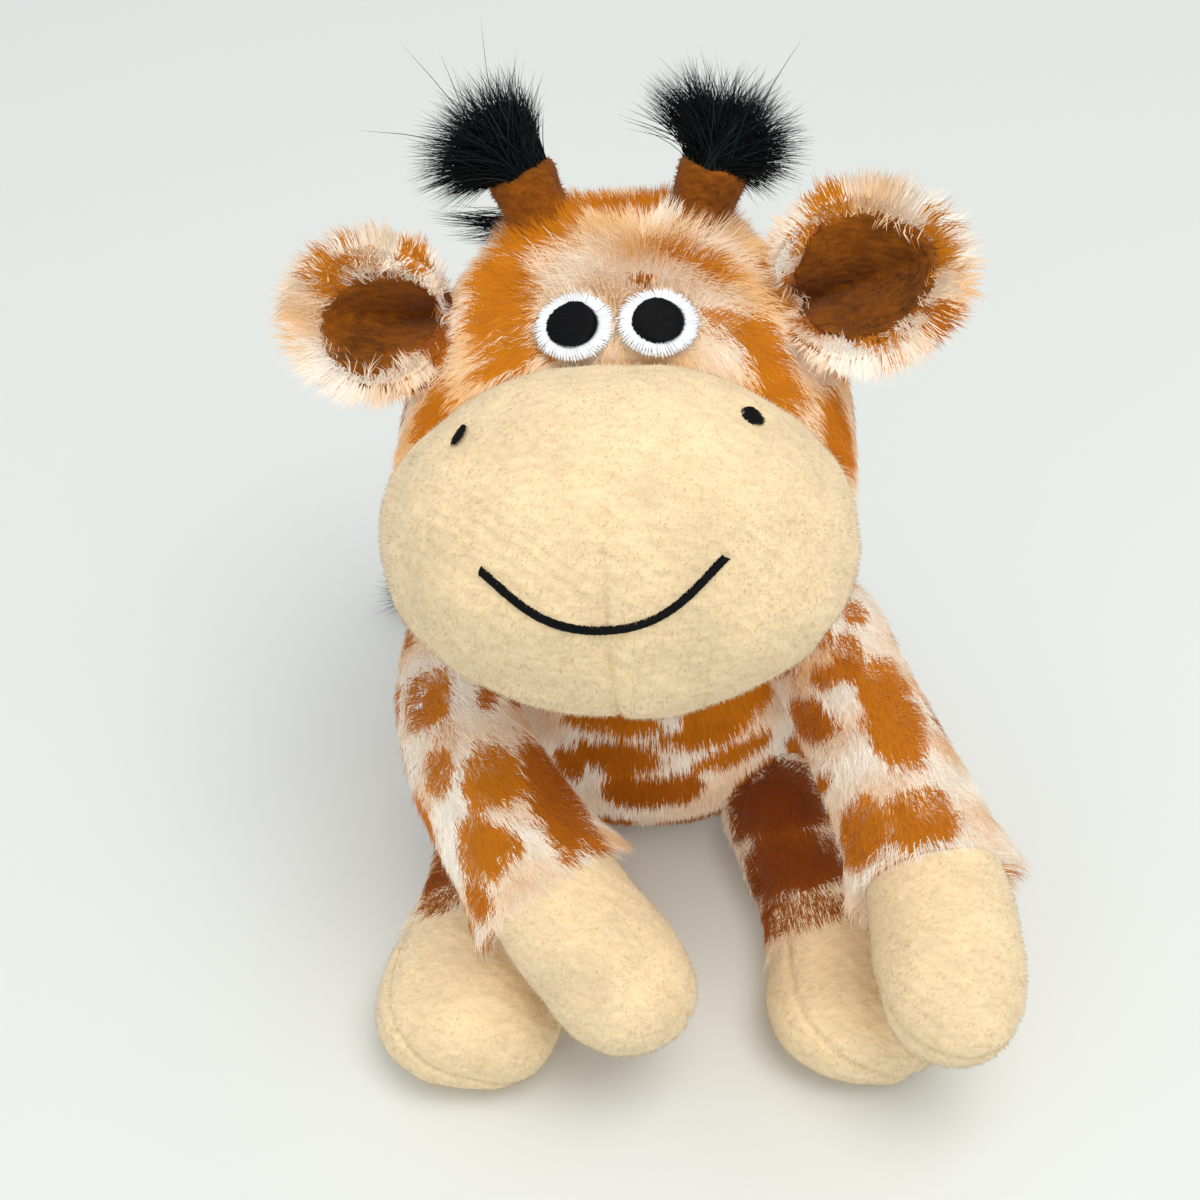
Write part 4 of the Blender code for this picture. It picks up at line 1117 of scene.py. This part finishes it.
def nostril(side):
    """A small satin-stitched oval on the muzzle."""
    node = f"nostril_{side}"
    rng = dice(node)
    px, py, half_wide, half_long, tilt = NOSTRILS[side]
    place, normal, _, distance = muzzle_tree.ray_cast(CAMERA_PLACE, ray(px, py))
    scale = distance / FOCUS_PX
    turn = math.radians(tilt)
    across = CAMERA_RIGHT * math.cos(turn) + CAMERA_UP * math.sin(turn)
    across = (across - normal * normal.dot(across)).normalized()
    over = normal.cross(across)
    count = int(2 * half_long * scale / (THREAD * 0.6))
    rows = np.linspace(-1, 1, count + 2)[1:-1]
    half = half_wide * scale * np.sqrt(1 - rows ** 2) * rng.uniform(0.9, 1.2, count) + THREAD * 0.5
    shares = np.linspace(-1, 1, 5)
    arch = 0.35 * MM + 0.5 * MM * np.sqrt(1 - shares ** 2 * 0.98)
    lines = (
        np.array(place) + np.array(over) * (rows * half_long * scale)[:, None, None]
        + np.array(across) * (half[:, None] * shares)[:, :, None] + np.array(normal) * arch[None, :, None]
        - np.array(normal) * NOSTRIL_SINK
    )
    tints = uneven(np.tile(BLACK_THREAD, (count, 1)), rng, 0.2)
    stitches = bundle(f"{node}_stitches", lines, np.tile(THREAD, (count, 4)), tints, 5, rng, BLACK_SATIN, 1.0)
    dress(stitches, "head", "black_thread", node)


for side in SIDES:
    nostril(side)

smile_points = in_head(node_points("smile"))
smile_fit = [np.polyfit(smile_points[:, 0], smile_points[:, i], 6) for i in (1, 2)]
smile_ends = smile_points[:, 0].min(), smile_points[:, 0].max()
SMILE_HALF_WIDTH = 0.9 * MM
# The thread bridges the seam, so its path is averaged over this share of its length
SMILE_WINDOWS = 16


def smile_at(x):
    """Points of the smile's middle line, on the velour where the node is seen."""
    own = np.stack([x, np.polyval(smile_fit[0], x), np.polyval(smile_fit[1], x)], 1)
    packed = HEAD_CENTRE + own @ HEAD_TURN.T
    viewer = np.array(CAMERA_PLACE)
    sight = unit(packed - viewer)
    reach = np.array([muzzle_face.ray_cast(CAMERA_PLACE, Vector(way))[3] for way in sight])
    window = len(x) // SMILE_WINDOWS
    padded = np.pad(reach, window, mode="edge")
    smooth = np.convolve(padded, np.ones(2 * window + 1) / (2 * window + 1), mode="valid")
    return viewer + sight * np.minimum(reach, smooth)[:, None]


def smile_stitches():
    """Short slanting stitches side by side along the smile."""
    rng = dice("smile")
    fine = np.linspace(smile_ends[0], smile_ends[1], 400)
    path = smile_at(fine)
    run = np.concatenate([[0], np.cumsum(np.linalg.norm(np.diff(path, axis=0), axis=1))])
    stops = np.arange(0, run[-1], 0.24 * MM)
    x = np.interp(stops, run, fine)
    middle = smile_at(x)
    along = unit(np.gradient(middle, axis=0))
    out = unit(middle - HEAD_CENTRE)
    over = unit(np.cross(along, out)) + along * 0.45
    shares = np.linspace(-1, 1, 5)
    half = SMILE_HALF_WIDTH * rng.uniform(0.9, 1.12, len(x))
    arch = 0.9 * MM * np.sqrt(1 - shares ** 2 * 0.98) - 0.1 * MM
    lines = middle[:, None] + over[:, None] * (half[:, None] * shares)[:, :, None]
    lines = lines + out[:, None] * arch[None, :, None]
    widths = np.tile(THREAD * 0.9, (len(x), 4))
    tints = uneven(np.tile(BLACK_THREAD, (len(x), 1)), rng, 0.25)
    stitches = bundle("smile_stitches", lines, widths, tints, 5, rng, BLACK_SATIN, 1.0)
    dress(stitches, "head", "black_thread", "smile")


smile_stitches()


# Ears

EAR_SPOTS = {
    "left": (
        (805, 236, 20, 18, 0, 0.1), (826, 192, 26, 16, 0, 0.05), (944, 240, 20, 32, 0, 0.05),
        (880, 350, 26, 10, 0, 0.1),
    ),
    "right": (
        (417, 247, 16, 12, 0, 0.1), (318, 268, 26, 26, 0, 0.05), (355, 246, 26, 14, 0, 0.1),
        (400, 388, 18, 10, 0, 0.05),
    ),
}
EAR_SHARES = {"left": 0.92, "right": 0.82}
EAR_DROOPS = {"left": 0.0, "right": 11.0}
# Each lining: its middle's pixel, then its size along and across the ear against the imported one
LININGS = {"left": (845, 281, 0.98, 0.97), "right": (399, 331, 0.91, 0.87)}
EAR_SINK = 1.5 * MM
LINING_BACK = 0.9 * MM
LINING_RINGS = 12
LINING_SECTORS = 56
LINING_CURL = 1.2 * MM
VALLEY_DEPTH = 17.0 * MM
VALLEY_LENGTH = 36 * MM
VALLEY_START = 2.2 * MM
VALLEY_SPREAD = 0.20
VALLEY_SLACK = 1.5 * MM
BOWL_DEPTH = 3.0 * MM
FRINGE_STRETCH = 0.8
LINING_EDGE = -1.4 * MM
BACK_DEPTH = 7 * MM


def smooth_outline(turns, radii):
    """A closed outline's distance at each turn, with its corners smoothed away."""
    steps = np.linspace(-math.pi, math.pi, 73)[:-1]
    reach = [radii[np.abs(np.angle(np.exp(1j * (turns - t)))) < 0.3].max() for t in steps]
    waves = np.fft.rfft(reach)
    waves[4:] = 0
    smooth = np.fft.irfft(waves, len(steps))
    return lambda turn: np.interp(turn, steps, smooth, period=2 * math.pi)


def ear(side):
    """An ear: its pile back, folded at the root, and the velour lining set in it."""
    body = f"ear_{side}"
    root, _ = joint_place(f"{body}_fold")
    back_points, lining_points = node_points(f"{body}_back"), node_points(f"{body}_lining")
    facing = unit(lining_points.mean(0) - back_points.mean(0))
    along = lining_points.mean(0) - root
    along = unit(along - facing * (along @ facing))
    droop = np.array(Matrix.Rotation(math.radians(EAR_DROOPS[side]), 3, Vector(facing)))
    share = EAR_SHARES[side]

    def hung(points):
        """Lets the ear hang from its root."""
        return root + (points - root) @ droop.T * share

    def folded(points, slack=0.0):
        """Presses the valley into the ear that its sewn root makes, and cups it."""
        away = points - root
        run = away @ (droop @ along)
        side_way = away - np.outer(run, droop @ along) - np.outer(away @ facing, facing)
        beside = np.linalg.norm(side_way, axis=1)
        half_width = VALLEY_START + VALLEY_SPREAD * np.maximum(run, 0)
        depth = VALLEY_DEPTH * np.exp(-np.sqrt((beside / half_width) ** 2 + 0.05))
        depth = depth * np.clip(1 - run / VALLEY_LENGTH, 0, 1)
        bowl = BOWL_DEPTH * np.exp(-(np.linalg.norm(points - middle, axis=1) / (11 * MM)) ** 2)
        return points - facing * (depth + bowl + np.minimum(depth, slack))[:, None]

    packed_lining = copied(f"{body}_lining")
    for vert in packed_lining.verts:
        vert.co = hung(np.array(vert.co)[None])[0]
    flat_lining = tree_of(packed_lining)
    along_now = droop @ along
    over = np.cross(facing, along_now)
    hung_lining = hung(lining_points)
    px, py, size_along, size_over = LININGS[side]
    middle = hung_lining.mean(0)
    turns = np.arctan2((hung_lining - middle) @ over, (hung_lining - middle) @ along_now)
    outline = smooth_outline(turns, np.linalg.norm(hung_lining - middle, axis=1) / share)
    shifted = through(px, py, middle)
    middle = shifted + facing * ((middle - shifted) @ facing)

    def on_lining(turn, radius):
        """The point of the lining at a turn and a share of its outline's distance."""
        reach = outline(turn) * radius
        place = middle + along_now * (reach * math.cos(turn) * size_along)
        place = place + over * (reach * math.sin(turn) * size_over)
        found = flat_lining.ray_cast(Vector(place + facing * 0.02), Vector(-facing))[0]
        found = found or flat_lining.find_nearest(Vector(place))[0]
        return place + facing * ((np.array(found) - place) @ facing)

    mesh = bmesh.new()
    heart = mesh.verts.new(on_lining(0.0, 0.0))
    rings = []
    for ring in range(1, LINING_RINGS + 2):
        curl = facing * LINING_CURL * max(ring - LINING_RINGS, 0) * 1.5
        radius = min(ring / LINING_RINGS, 1.02)
        rings.append([
            mesh.verts.new(on_lining(2 * math.pi * i / LINING_SECTORS, radius) - curl)
            for i in range(LINING_SECTORS)
        ])
    for i in range(LINING_SECTORS):
        after = (i + 1) % LINING_SECTORS
        mesh.faces.new((heart, rings[0][i], rings[0][after]))
        for low, high in zip(rings, rings[1:]):
            mesh.faces.new((low[i], high[i], high[after], low[after]))

    cloth = smoothed(f"{body}_cloth", copied(f"{body}_back"), BACKING, 2, 0, EAR_SINK)
    set_points(cloth, folded(hung(points_of(cloth)), VALLEY_SLACK))
    coat = Coat(cloth, f"{body}_back", EAR_SPOTS[side], dice(f"{body}_coat"), peach=0.4)
    coat.paint(cloth)
    lining = as_object(f"{body}_velour", mesh, TAN)
    points = points_of(lining)
    ripple = 0.25 * MM * smooth_noise(points, 7 * MM, 31)
    set_points(lining, folded(points) - facing * (LINING_BACK - ripple)[:, None])
    step(lining, "SUBSURF", levels=1, render_levels=1)
    settled(lining)
    lining_tree = tree_of(bmesh_of(lining))
    heart_now = folded(middle[None])[0]
    reach = np.linalg.norm(hung(back_points) - root, axis=1).max()

    def outside_lining(roots, normals):
        away = roots - middle
        turn = np.arctan2(away @ over / size_over, away @ along_now / size_along)
        radius = np.hypot(away @ over / size_over, away @ along_now / size_along)
        shown = np.linalg.norm(roots - root, axis=1) > 1.5 * MM
        nearest = np.array([lining_tree.find_nearest(Vector(place))[0] for place in roots])
        ahead = ((roots - nearest) @ facing > -0.2 * MM) & (normals @ facing > -0.2)
        return shown & ((normals @ facing < -0.2) | (radius > outline(turn) + LINING_EDGE) | ahead)

    def outward(roots):
        """The back is combed from root to tip, and the rim away from the lining."""
        behind = np.clip((heart_now - roots) @ facing / BACK_DEPTH, 0, 1)[:, None]
        return unit(roots - heart_now) * (1 - behind) + unit(roots - root) * behind

    split_pile(
        f"{body}_pile", cloth, coat, outward, body, keep=outside_lining,
        lift=0.2, per_mm2=DENSITY * 1.2, gather=0.6, stray=0.13, edge=0.3,
        stretch=lambda roots: 1 + FRINGE_STRETCH * (np.linalg.norm(roots - root, axis=1) / reach) ** 1.5,
    )
    dress(cloth, body, "pile", f"{body}_back")
    nap(f"{body}_nap", lining, body, "tan_velour", TAN_VELOUR,
        keep=lambda roots, normals: normals @ facing > 0)
    doubled(lining, 0.5 * MM)
    dress(lining, body, "tan_velour", f"{body}_lining")


for side in SIDES:
    ear(side)


# Horns and their tufts

# Pixels round each tuft's outline, and where single fibres end
TUFT_TIPS = {
    "right": (
        (452, 206), (424, 198), (408, 180), (409, 160), (412, 140), (424, 116), (440, 95), (462, 80),
        (490, 65), (512, 62), (530, 90), (543, 110),
    ),
    "left": (
        (640, 100), (650, 78), (672, 66), (690, 60), (735, 65), (765, 76), (790, 92), (808, 120),
        (812, 150), (798, 182), (768, 196),
    ),
}
TUFT_STRAYS = {
    "right": (
        (398, 40), (352, 130), (480, 12), (438, 48), (545, 70), (540, 84), (534, 74), (543, 92), (536, 66),
        (548, 104), (406, 178), (409, 184), (421, 185), (404, 170), (432, 196), (414, 192), (538, 96),
        (541, 78),
    ),
    "left": (
        (617, 118), (805, 34), (640, 128), (722, 52), (700, 44), (614, 113), (621, 127), (632, 102),
        (646, 73), (626, 98), (636, 120), (618, 106), (629, 110), (642, 116), (812, 178), (806, 186), (796, 192),
        (624, 121),
    ),
}
TUFT_STRANDS = 3400
TUFT_CORE_SHARE = 0.45
TUFT_CORE_WIDTH = 1.7
TUFT_DEPTH = 8 * MM
TUFT_ROOT_RADIUS = 6.3 * MM
FIBRE_WIDTH = 0.26 * MM
HORN_TUCK = 4 * MM
HORN_ROOT_REACH = 50 * MM
FIBRE_LEVELS = 6


def fanned(roots, ends, starts, bend):
    """Fibres that leave along one way, or each along its own, and bend over to their ends."""
    length = np.linalg.norm(ends - roots, axis=1)[:, None]
    middle = roots + starts * length * bend
    t = np.linspace(0, 1, FIBRE_LEVELS)[None, :, None]
    return roots[:, None] * (1 - t) ** 2 + middle[:, None] * 2 * t * (1 - t) + ends[:, None] * t ** 2


def loose_fibres(node, lines, body, rng, core=None):
    """One bunch of black fibre that stands for its node; core marks the first, thicker strands."""
    count = len(lines)
    widths = FIBRE_WIDTH * rng.uniform(0.6, 1.2, (count, 1)) * np.linspace(1, 0.6, FIBRE_LEVELS - 1)
    if core is not None:
        widths[:len(core)][core] *= TUFT_CORE_WIDTH
    # A few fibres are mixed towards grey, as painted highlight
    share = rng.uniform(0, 1, (count, 1)) ** 3
    tints = BLACK_FIBRE + (PAINTED_FIBRE_HIGHLIGHT - BLACK_FIBRE) * share
    # Fibres are dyed much darker at the root, as painted shade inside the bunch
    fibres = bundle(f"{node}_fibres", lines, widths, tints, 3, rng, FIBRE, 0.6)
    dress(fibres, body, "black_fibre", node)


def horn(side):
    """A velour stub and the tuft of fibre that stands in its top."""
    name = f"horn_{side}"
    rng = dice(name)
    cloth = smoothed(f"{name}_cloth", copied(name), TAN, 2, 0, 0)
    points = points_of(cloth)
    centre, axes = principal(node_points(name))
    low = np.linalg.norm(points - HEAD_CENTRE, axis=1) < HORN_ROOT_REACH
    points += unit(HEAD_CENTRE - centre) * (HORN_TUCK * low)[:, None]
    ripple = 0.2 * MM * smooth_noise(points, 6 * MM, 41)
    set_points(cloth, points + normals_of(cloth) * ripple[:, None])
    nap(f"{name}_nap", cloth, "head", "tan_velour", TAN_VELOUR, density=NAP_DENSITY * 1.4)
    dress(cloth, "head", "tan_velour", name)
    tuft_centre = node_points(f"{name}_tuft").mean(0)
    up = unit(tuft_centre - centre)
    lengthwise = axes[np.argmax(np.abs(axes @ up))]
    lengthwise = lengthwise if lengthwise @ up > 0 else -lengthwise
    rows = node_points(name) - centre
    top = centre + lengthwise * (rows @ lengthwise).max()
    side_a = unit(np.cross(lengthwise, [0.0, 1.0, 0.0]))
    side_b = np.cross(lengthwise, side_a)
    arc = np.array([through(px, py, top) for px, py in TUFT_TIPS[side]])
    count = TUFT_STRANDS
    where = rng.uniform(0, len(arc) - 1, count)
    first = where.astype(int)
    tips = arc[first] + (arc[first + 1] - arc[first]) * (where - first)[:, None]
    strays = np.array([through(px, py, top) for px, py in TUFT_STRAYS[side]])
    reach = rng.uniform(0.55, 1.03, count)
    core = rng.random(count) < TUFT_CORE_SHARE
    reach[core] *= 0.8
    spread = np.sqrt(rng.random(count)) * TUFT_ROOT_RADIUS
    turn = rng.uniform(0, 2 * math.pi, count)
    roots = top - lengthwise * 2 * MM + side_a * (spread * np.cos(turn))[:, None]
    roots = roots + side_b * (spread * np.sin(turn))[:, None]
    ends = top + (tips - top) * reach[:, None]
    inner = top + (tips.mean(0) - top) * reach[core, None]
    ends[core] += (inner - ends[core]) * rng.uniform(0, 0.6, (core.sum(), 1))
    ends += np.array(CAMERA_BACK) * (rng.uniform(-1, 1, count) * TUFT_DEPTH * reach)[:, None]
    ends += rng.normal(size=(count, 3)) * 1.0 * MM
    ends = np.concatenate([ends, strays])
    picked = rng.integers(0, count, len(strays))
    roots = np.concatenate([roots, roots[picked]])
    loose_fibres(f"{name}_tuft", fanned(roots, ends, lengthwise, 0.28), "head", rng, core)


for side in SIDES:
    horn(side)


# Manes

MANE_STRANDS = 2200
# From low on the back of the head to the crown, in degrees above straight back
MANE_ANGLES = (-26, 46)
MANE_LOCKS = 34
# Pixels where the lock beside the horn ends
LOCK_TIPS = ((433, 214), (438, 219), (436, 217), (450, 234), (455, 238), (470, 246))
BACK_LEAN = np.array([-0.35, 0, -0.5])
BACK_SAG = np.array([0, 0, -0.15])
BACK_LENGTH = 13 * MM


def head_mane():
    """The head's mane lies over to the toy's right, close to the pile."""
    rng = dice("mane_head")
    count = MANE_STRANDS
    lowest, highest = MANE_ANGLES
    turn = rng.uniform(lowest, highest, count)
    locks = MANE_LOCKS
    lock = ((turn - lowest) / (highest - lowest) * locks).astype(int)
    middle = np.sin(math.pi * np.clip((turn - lowest) / (highest - lowest), 0, 1)) ** 0.5
    flop = rng.uniform(0.35, 1.0, count) * (12 + 24 * middle) * rng.uniform(0.65, 1.0, locks + 1)[lock]
    sag = rng.uniform(6, 16, count) + rng.uniform(-5, 5, locks + 1)[lock]
    t = np.linspace(0, 1, FIBRE_LEVELS)[None, :, None]
    angle = np.radians(turn[:, None, None] - sag[:, None, None] * t ** 1.5)
    flop = np.radians(flop)[:, None, None]
    out = np.cos(angle) * HEAD_BACK + np.sin(angle) * HEAD_UP
    ways = out * np.cos(flop * t) - HEAD_SIDE * np.sin(flop * t)
    ways = ways + HEAD_SIDE * rng.normal(size=(count, 1, 1)) * 0.03
    height = 44 * MM + (rng.uniform(4, 8, count)[:, None, None] * MM) * t ** 0.6
    lines = HEAD_CENTRE + unit(ways) * height
    lines = lines + rng.normal(size=(count, 1, 3)) * MM * 1.2 * t
    crown = HEAD_CENTRE + unit(HEAD_BACK * 0.62 + HEAD_UP * 0.70 - HEAD_SIDE * 0.30) * 45 * MM
    seam = HEAD_CENTRE + unit(HEAD_BACK * 0.70 + HEAD_UP * 0.70) * 46 * MM
    tips = np.array([through(px, py, crown) for px, py in LOCK_TIPS])
    picked = rng.integers(0, len(tips), count // 8)
    roots = seam + (crown - seam) * rng.uniform(0, 1, (len(picked), 1))
    roots = roots + rng.normal(size=(len(picked), 3)) * 1.8 * MM
    ends = crown + (tips[picked] - crown) * rng.uniform(0.55, 1.05, (len(picked), 1))
    ends = ends + rng.normal(size=ends.shape) * 1.1 * MM
    lines = np.concatenate([lines, fanned(roots, ends, -HEAD_SIDE, 0.3)])
    loose_fibres("mane_head", lines, "head", rng)


def back_mane():
    """A short row of fibre down the middle of the back."""
    rng = dice("mane_back")
    count = MANE_STRANDS // 2
    surface = tree_of(bmesh_of(torso_cloth))
    points = node_points("mane_back")
    low, high = points.min(0), points.max(0)
    heights = rng.uniform(low[2], high[2], count)
    roots, out = np.empty((count, 3)), np.empty((count, 3))
    for i, height in enumerate(heights):
        start = Vector((rng.normal() * 1.2 * MM + points[:, 0].mean(), 0.2, height))
        place, normal, _, _ = surface.ray_cast(start, Vector((0, -1, 0)))
        roots[i], out[i] = place, normal
    lean = BACK_LEAN * rng.uniform(0.3, 1.0, (count, 1))
    ways = unit(out + lean + rng.normal(size=(count, 3)) * 0.22)
    ends = roots + ways * (BACK_LENGTH * rng.uniform(0.7, 1.1, count))[:, None] + BACK_SAG * BACK_LENGTH
    loose_fibres("mane_back", fanned(roots, ends, out, 0.4), "torso", rng)


head_mane()
back_mane()


# Tail

TAIL_TUCK = 4 * MM


def tail():
    """A thin pile tube, tucked into the rump, and the tuft of fibre at its end."""
    rng = dice("tail")
    cloth = smoothed("tail_cloth", copied("tail_tube"), BACKING, 1, 2, 1.8 * MM)
    root = joint_place("tail_swing")[0]
    points = points_of(cloth)
    near = np.exp(-(np.linalg.norm(points - root, axis=1) / (7 * MM)) ** 2)
    set_points(cloth, points + np.array([0, -1, 0]) * (TAIL_TUCK * near)[:, None])
    coat = Coat(cloth, "tail_tube", (), dice("tail_coat"), size=SPOT_RADIUS * 0.8)
    coat.paint(cloth)
    tuft = node_points("tail_tuft")
    centre, axes = principal(tuft)
    along = axes[0] if axes[0] @ (centre - root) > 0 else -axes[0]
    aim = centre + along * 30 * MM
    split_pile("tail_pile", cloth, coat, lambda roots: aim - roots, "tail", length=5 * MM)
    dress(cloth, "tail", "pile", "tail_tube")
    rows = (tuft - centre) @ along
    start, end = centre + along * rows.min(), centre + along * rows.max()
    count = MANE_STRANDS // 3
    roots = start + rng.normal(size=(count, 3)) * 1.3 * MM - along * 2 * MM
    ends = start + (end - start) * rng.uniform(0.6, 1.05, (count, 1))
    ends = ends + rng.normal(size=(count, 3)) * 2.6 * MM
    loose_fibres("tail_tuft", fanned(roots, ends, along, 0.5), "tail", rng)


tail()


# Arms and legs

LIMB_SPOTS = {
    "arm_right": (
        (419, 701, 30, 33, 0, 0.2), (390, 642, 10, 14, 0, 0.3), (496, 779, 33, 38, 0, 0.2),
        (567, 797, 30, 46, 25, 0.45), (432, 778, 18, 26, 0, 0.2), (482, 857, 31, 34, 0, 0.2),
        (556, 877, 30, 24, 15, 0.1), (494, 694, 10, 13, 0, 0.4), (476, 911, 15, 18, 0, 0.3),
    ),
    "arm_left": (
        (899, 712, 32, 52, 8, 0.15), (850, 662, 16, 24, 0, 0.3), (823, 683, 14, 12, 0, 0.3),
        (803, 727, 23, 24, 0, 0.4), (856, 842, 30, 34, 0, 0.2), (921, 822, 42, 32, 15, 0.2),
        (974, 850, 36, 28, 0, 0.1), (861, 613, 16, 14, 0, 0.2), (806, 795, 5, 20, 0, 0.3),
        (822, 642, 12, 14, 0, 0.3),
    ),
    # The legs' spots reach towards brown: partly their darker print, partly painted shade, as the legs sit under
    # the belly
    "leg_right": ((438, 815, 18, 30, 0, 0.6), (438, 885, 28, 36, 0, 0.6)),
    "leg_left": ((772, 798, 62, 40, 0, 0.85), (783, 866, 60, 34, 0, 0.8), (790, 920, 60, 18, 0, 0.6)),
}
END_SHARES = {"arm_right": 0.97, "arm_left": 0.97, "leg_right": 1.0, "leg_left": 1.0}
# Two pixels on the seam of each velour end
END_SEAMS_PX = {
    "arm_right": ((606, 939), (676, 998)), "arm_left": ((917, 1044), (956, 1058)),
    "leg_right": ((390, 1018), (455, 1078)), "leg_left": ((826, 1046), (890, 1076)),
}
END_SEAM_DEPTH = 0.8 * MM
END_SEAM_WIDTH = 0.9 * MM
LIMB_ENDS = {"arm": "hoof", "leg": "foot"}
CUFF_BACK = 1.0 * MM
CUFF_ZONE = 13 * MM
CUFF_FLARE = 0.9 * MM
CUFF_GROWTHS = {"arm_right": 4.5 * MM, "arm_left": 3.5 * MM, "leg_right": 1.0 * MM, "leg_left": 3.0 * MM}
CUFF_STRETCH = 0.50
# Pile leans towards a point this far past the cuff
CUFF_AIM = 60 * MM


def limb(body):
    """An arm or a leg: its pile sleeve with a flared cuff, and its velour end with a seam."""
    end_node = f"{body}_{LIMB_ENDS[body[:3]]}"
    filling = f"{body}_fill"
    cloth = smoothed(f"{body}_cloth", outer_sheet(f"{body}_sleeve", filling), BACKING, 1, 3, PILE_DEPTH)
    edge, out = open_edge(cloth)
    trimmed(cloth, edge - out * CUFF_BACK, out)
    points = points_of(cloth)
    near = np.clip(1 - ((edge - points) @ out) / CUFF_ZONE, 0, 1) ** 2
    beside = points - edge - np.outer((points - edge) @ out, out)
    points = points + (out * CUFF_GROWTHS[body] + unit(beside) * CUFF_FLARE) * near[:, None]
    set_points(cloth, floored(points))
    edge = edge + out * CUFF_GROWTHS[body]
    coat = Coat(cloth, f"{body}_sleeve", LIMB_SPOTS[body], dice(f"{body}_coat"))
    coat.paint(cloth)
    target = edge + out * CUFF_AIM

    def near_cuff(roots):
        return np.clip(1 - ((edge - roots) @ out) / CUFF_ZONE, 0, 1)

    split_pile(
        f"{body}_pile", cloth, coat, lambda roots: target - roots, body,
        lift=lambda roots: 0.21 + 0.10 * near_cuff(roots),
        stretch=lambda roots: 1 + CUFF_STRETCH * near_cuff(roots), gather=0.6,
    )
    doubled(cloth, 0.8 * MM)
    dress(cloth, body, "pile", f"{body}_sleeve", fill=0.65)
    mesh = tucked(outer_sheet(end_node, filling), 9 * MM, 1.5 * MM)
    end = as_object(f"{body}_velour", mesh, CREAM)
    step(end, "SUBSURF", levels=3, render_levels=3)
    settled(end)
    points = points_of(end)
    run = np.maximum((points - edge) @ out, 0)
    points = points - np.outer(run * (1 - END_SHARES[body]), out)
    set_points(end, points)
    surface = tree_of(bmesh_of(end))
    first, second = (surface.ray_cast(CAMERA_PLACE, ray(*px))[0] for px in END_SEAMS_PX[body])
    if first is not None and second is not None:
        across = unit(np.cross(np.array(second - first), points.mean(0) - np.array(first)))
        beside = (points - np.array(first)) @ across
        groove = END_SEAM_DEPTH * np.exp(-(beside / END_SEAM_WIDTH) ** 2)
        points = points - normals_of(end) * groove[:, None]
    lumps = 0.5 * MM * smooth_noise(points, 22 * MM, 51) + 0.12 * MM * smooth_noise(points, 8 * MM, 52)
    set_points(end, floored(points + normals_of(end) * lumps[:, None]))
    nap(f"{body}_nap", end, body, "velour", CREAM_VELOUR,
        keep=lambda roots, normals: (roots - edge) @ out > -1 * MM)
    doubled(end, 0.8 * MM)
    dress(end, body, "velour", end_node, fill=0.7)


for body in LIMB_SPOTS:
    limb(body)


# What stays inside

for node, packed in frame["nodes"].items():
    if node.endswith("_fill") or node == "pellet_bag":
        for place in packed.material_slots:
            place.material = LINING if node == "pellet_bag" else STUFFING


# Camera, light and floor

camera = bpy.data.objects.new("camera", bpy.data.cameras.new("camera"))
bpy.context.scene.collection.objects.link(camera)
camera.data.lens = LENS_MM
camera.data.sensor_width = SENSOR_MM
camera.location = CAMERA_PLACE
camera.rotation_euler = (CAMERA_TILT, 0, 0)
bpy.context.scene.camera = camera
bpy.context.scene.view_settings.view_transform = "Standard"

FLOOR_SIDE = 6.0
floor_mesh = bmesh.new()
bmesh.ops.create_grid(floor_mesh, x_segments=1, y_segments=1, size=FLOOR_SIDE / 2)
paper, tree, shader = material("matt paper", 0.9, specular=0.1)
shader.inputs["Base Color"].default_value = (*linear("#E6E8E4"), 1)
floor = as_object("floor", floor_mesh, paper)

world = bpy.data.worlds.new("soft room")
bpy.context.scene.world = world
world.use_nodes = True
background = world.node_tree.nodes["Background"]
background.inputs["Color"].default_value = (0.93, 0.97, 1.0, 1)
background.inputs["Strength"].default_value = 0.78


def softbox(name, place, aim, side, watts, colour):
    """A square lamp aimed at a point of the toy."""
    lamp = bpy.data.lights.new(name, "AREA")
    lamp.shape = "SQUARE"
    lamp.size = side
    lamp.energy = watts
    lamp.color = colour
    made = bpy.data.objects.new(name, lamp)
    made.location = place
    made.rotation_euler = (Vector(aim) - Vector(place)).to_track_quat("-Z", "Y").to_euler()
    bpy.context.scene.collection.objects.link(made)


softbox("overhead softbox", (0.2, -0.3, 1.0), (0, -0.03, 0.08), 0.55, 4.3, (1, 0.98, 0.94))
softbox("front fill", (-0.35, -0.9, 0.55), (0, -0.03, 0.1), 0.6, 1.0, (1, 0.97, 0.93))
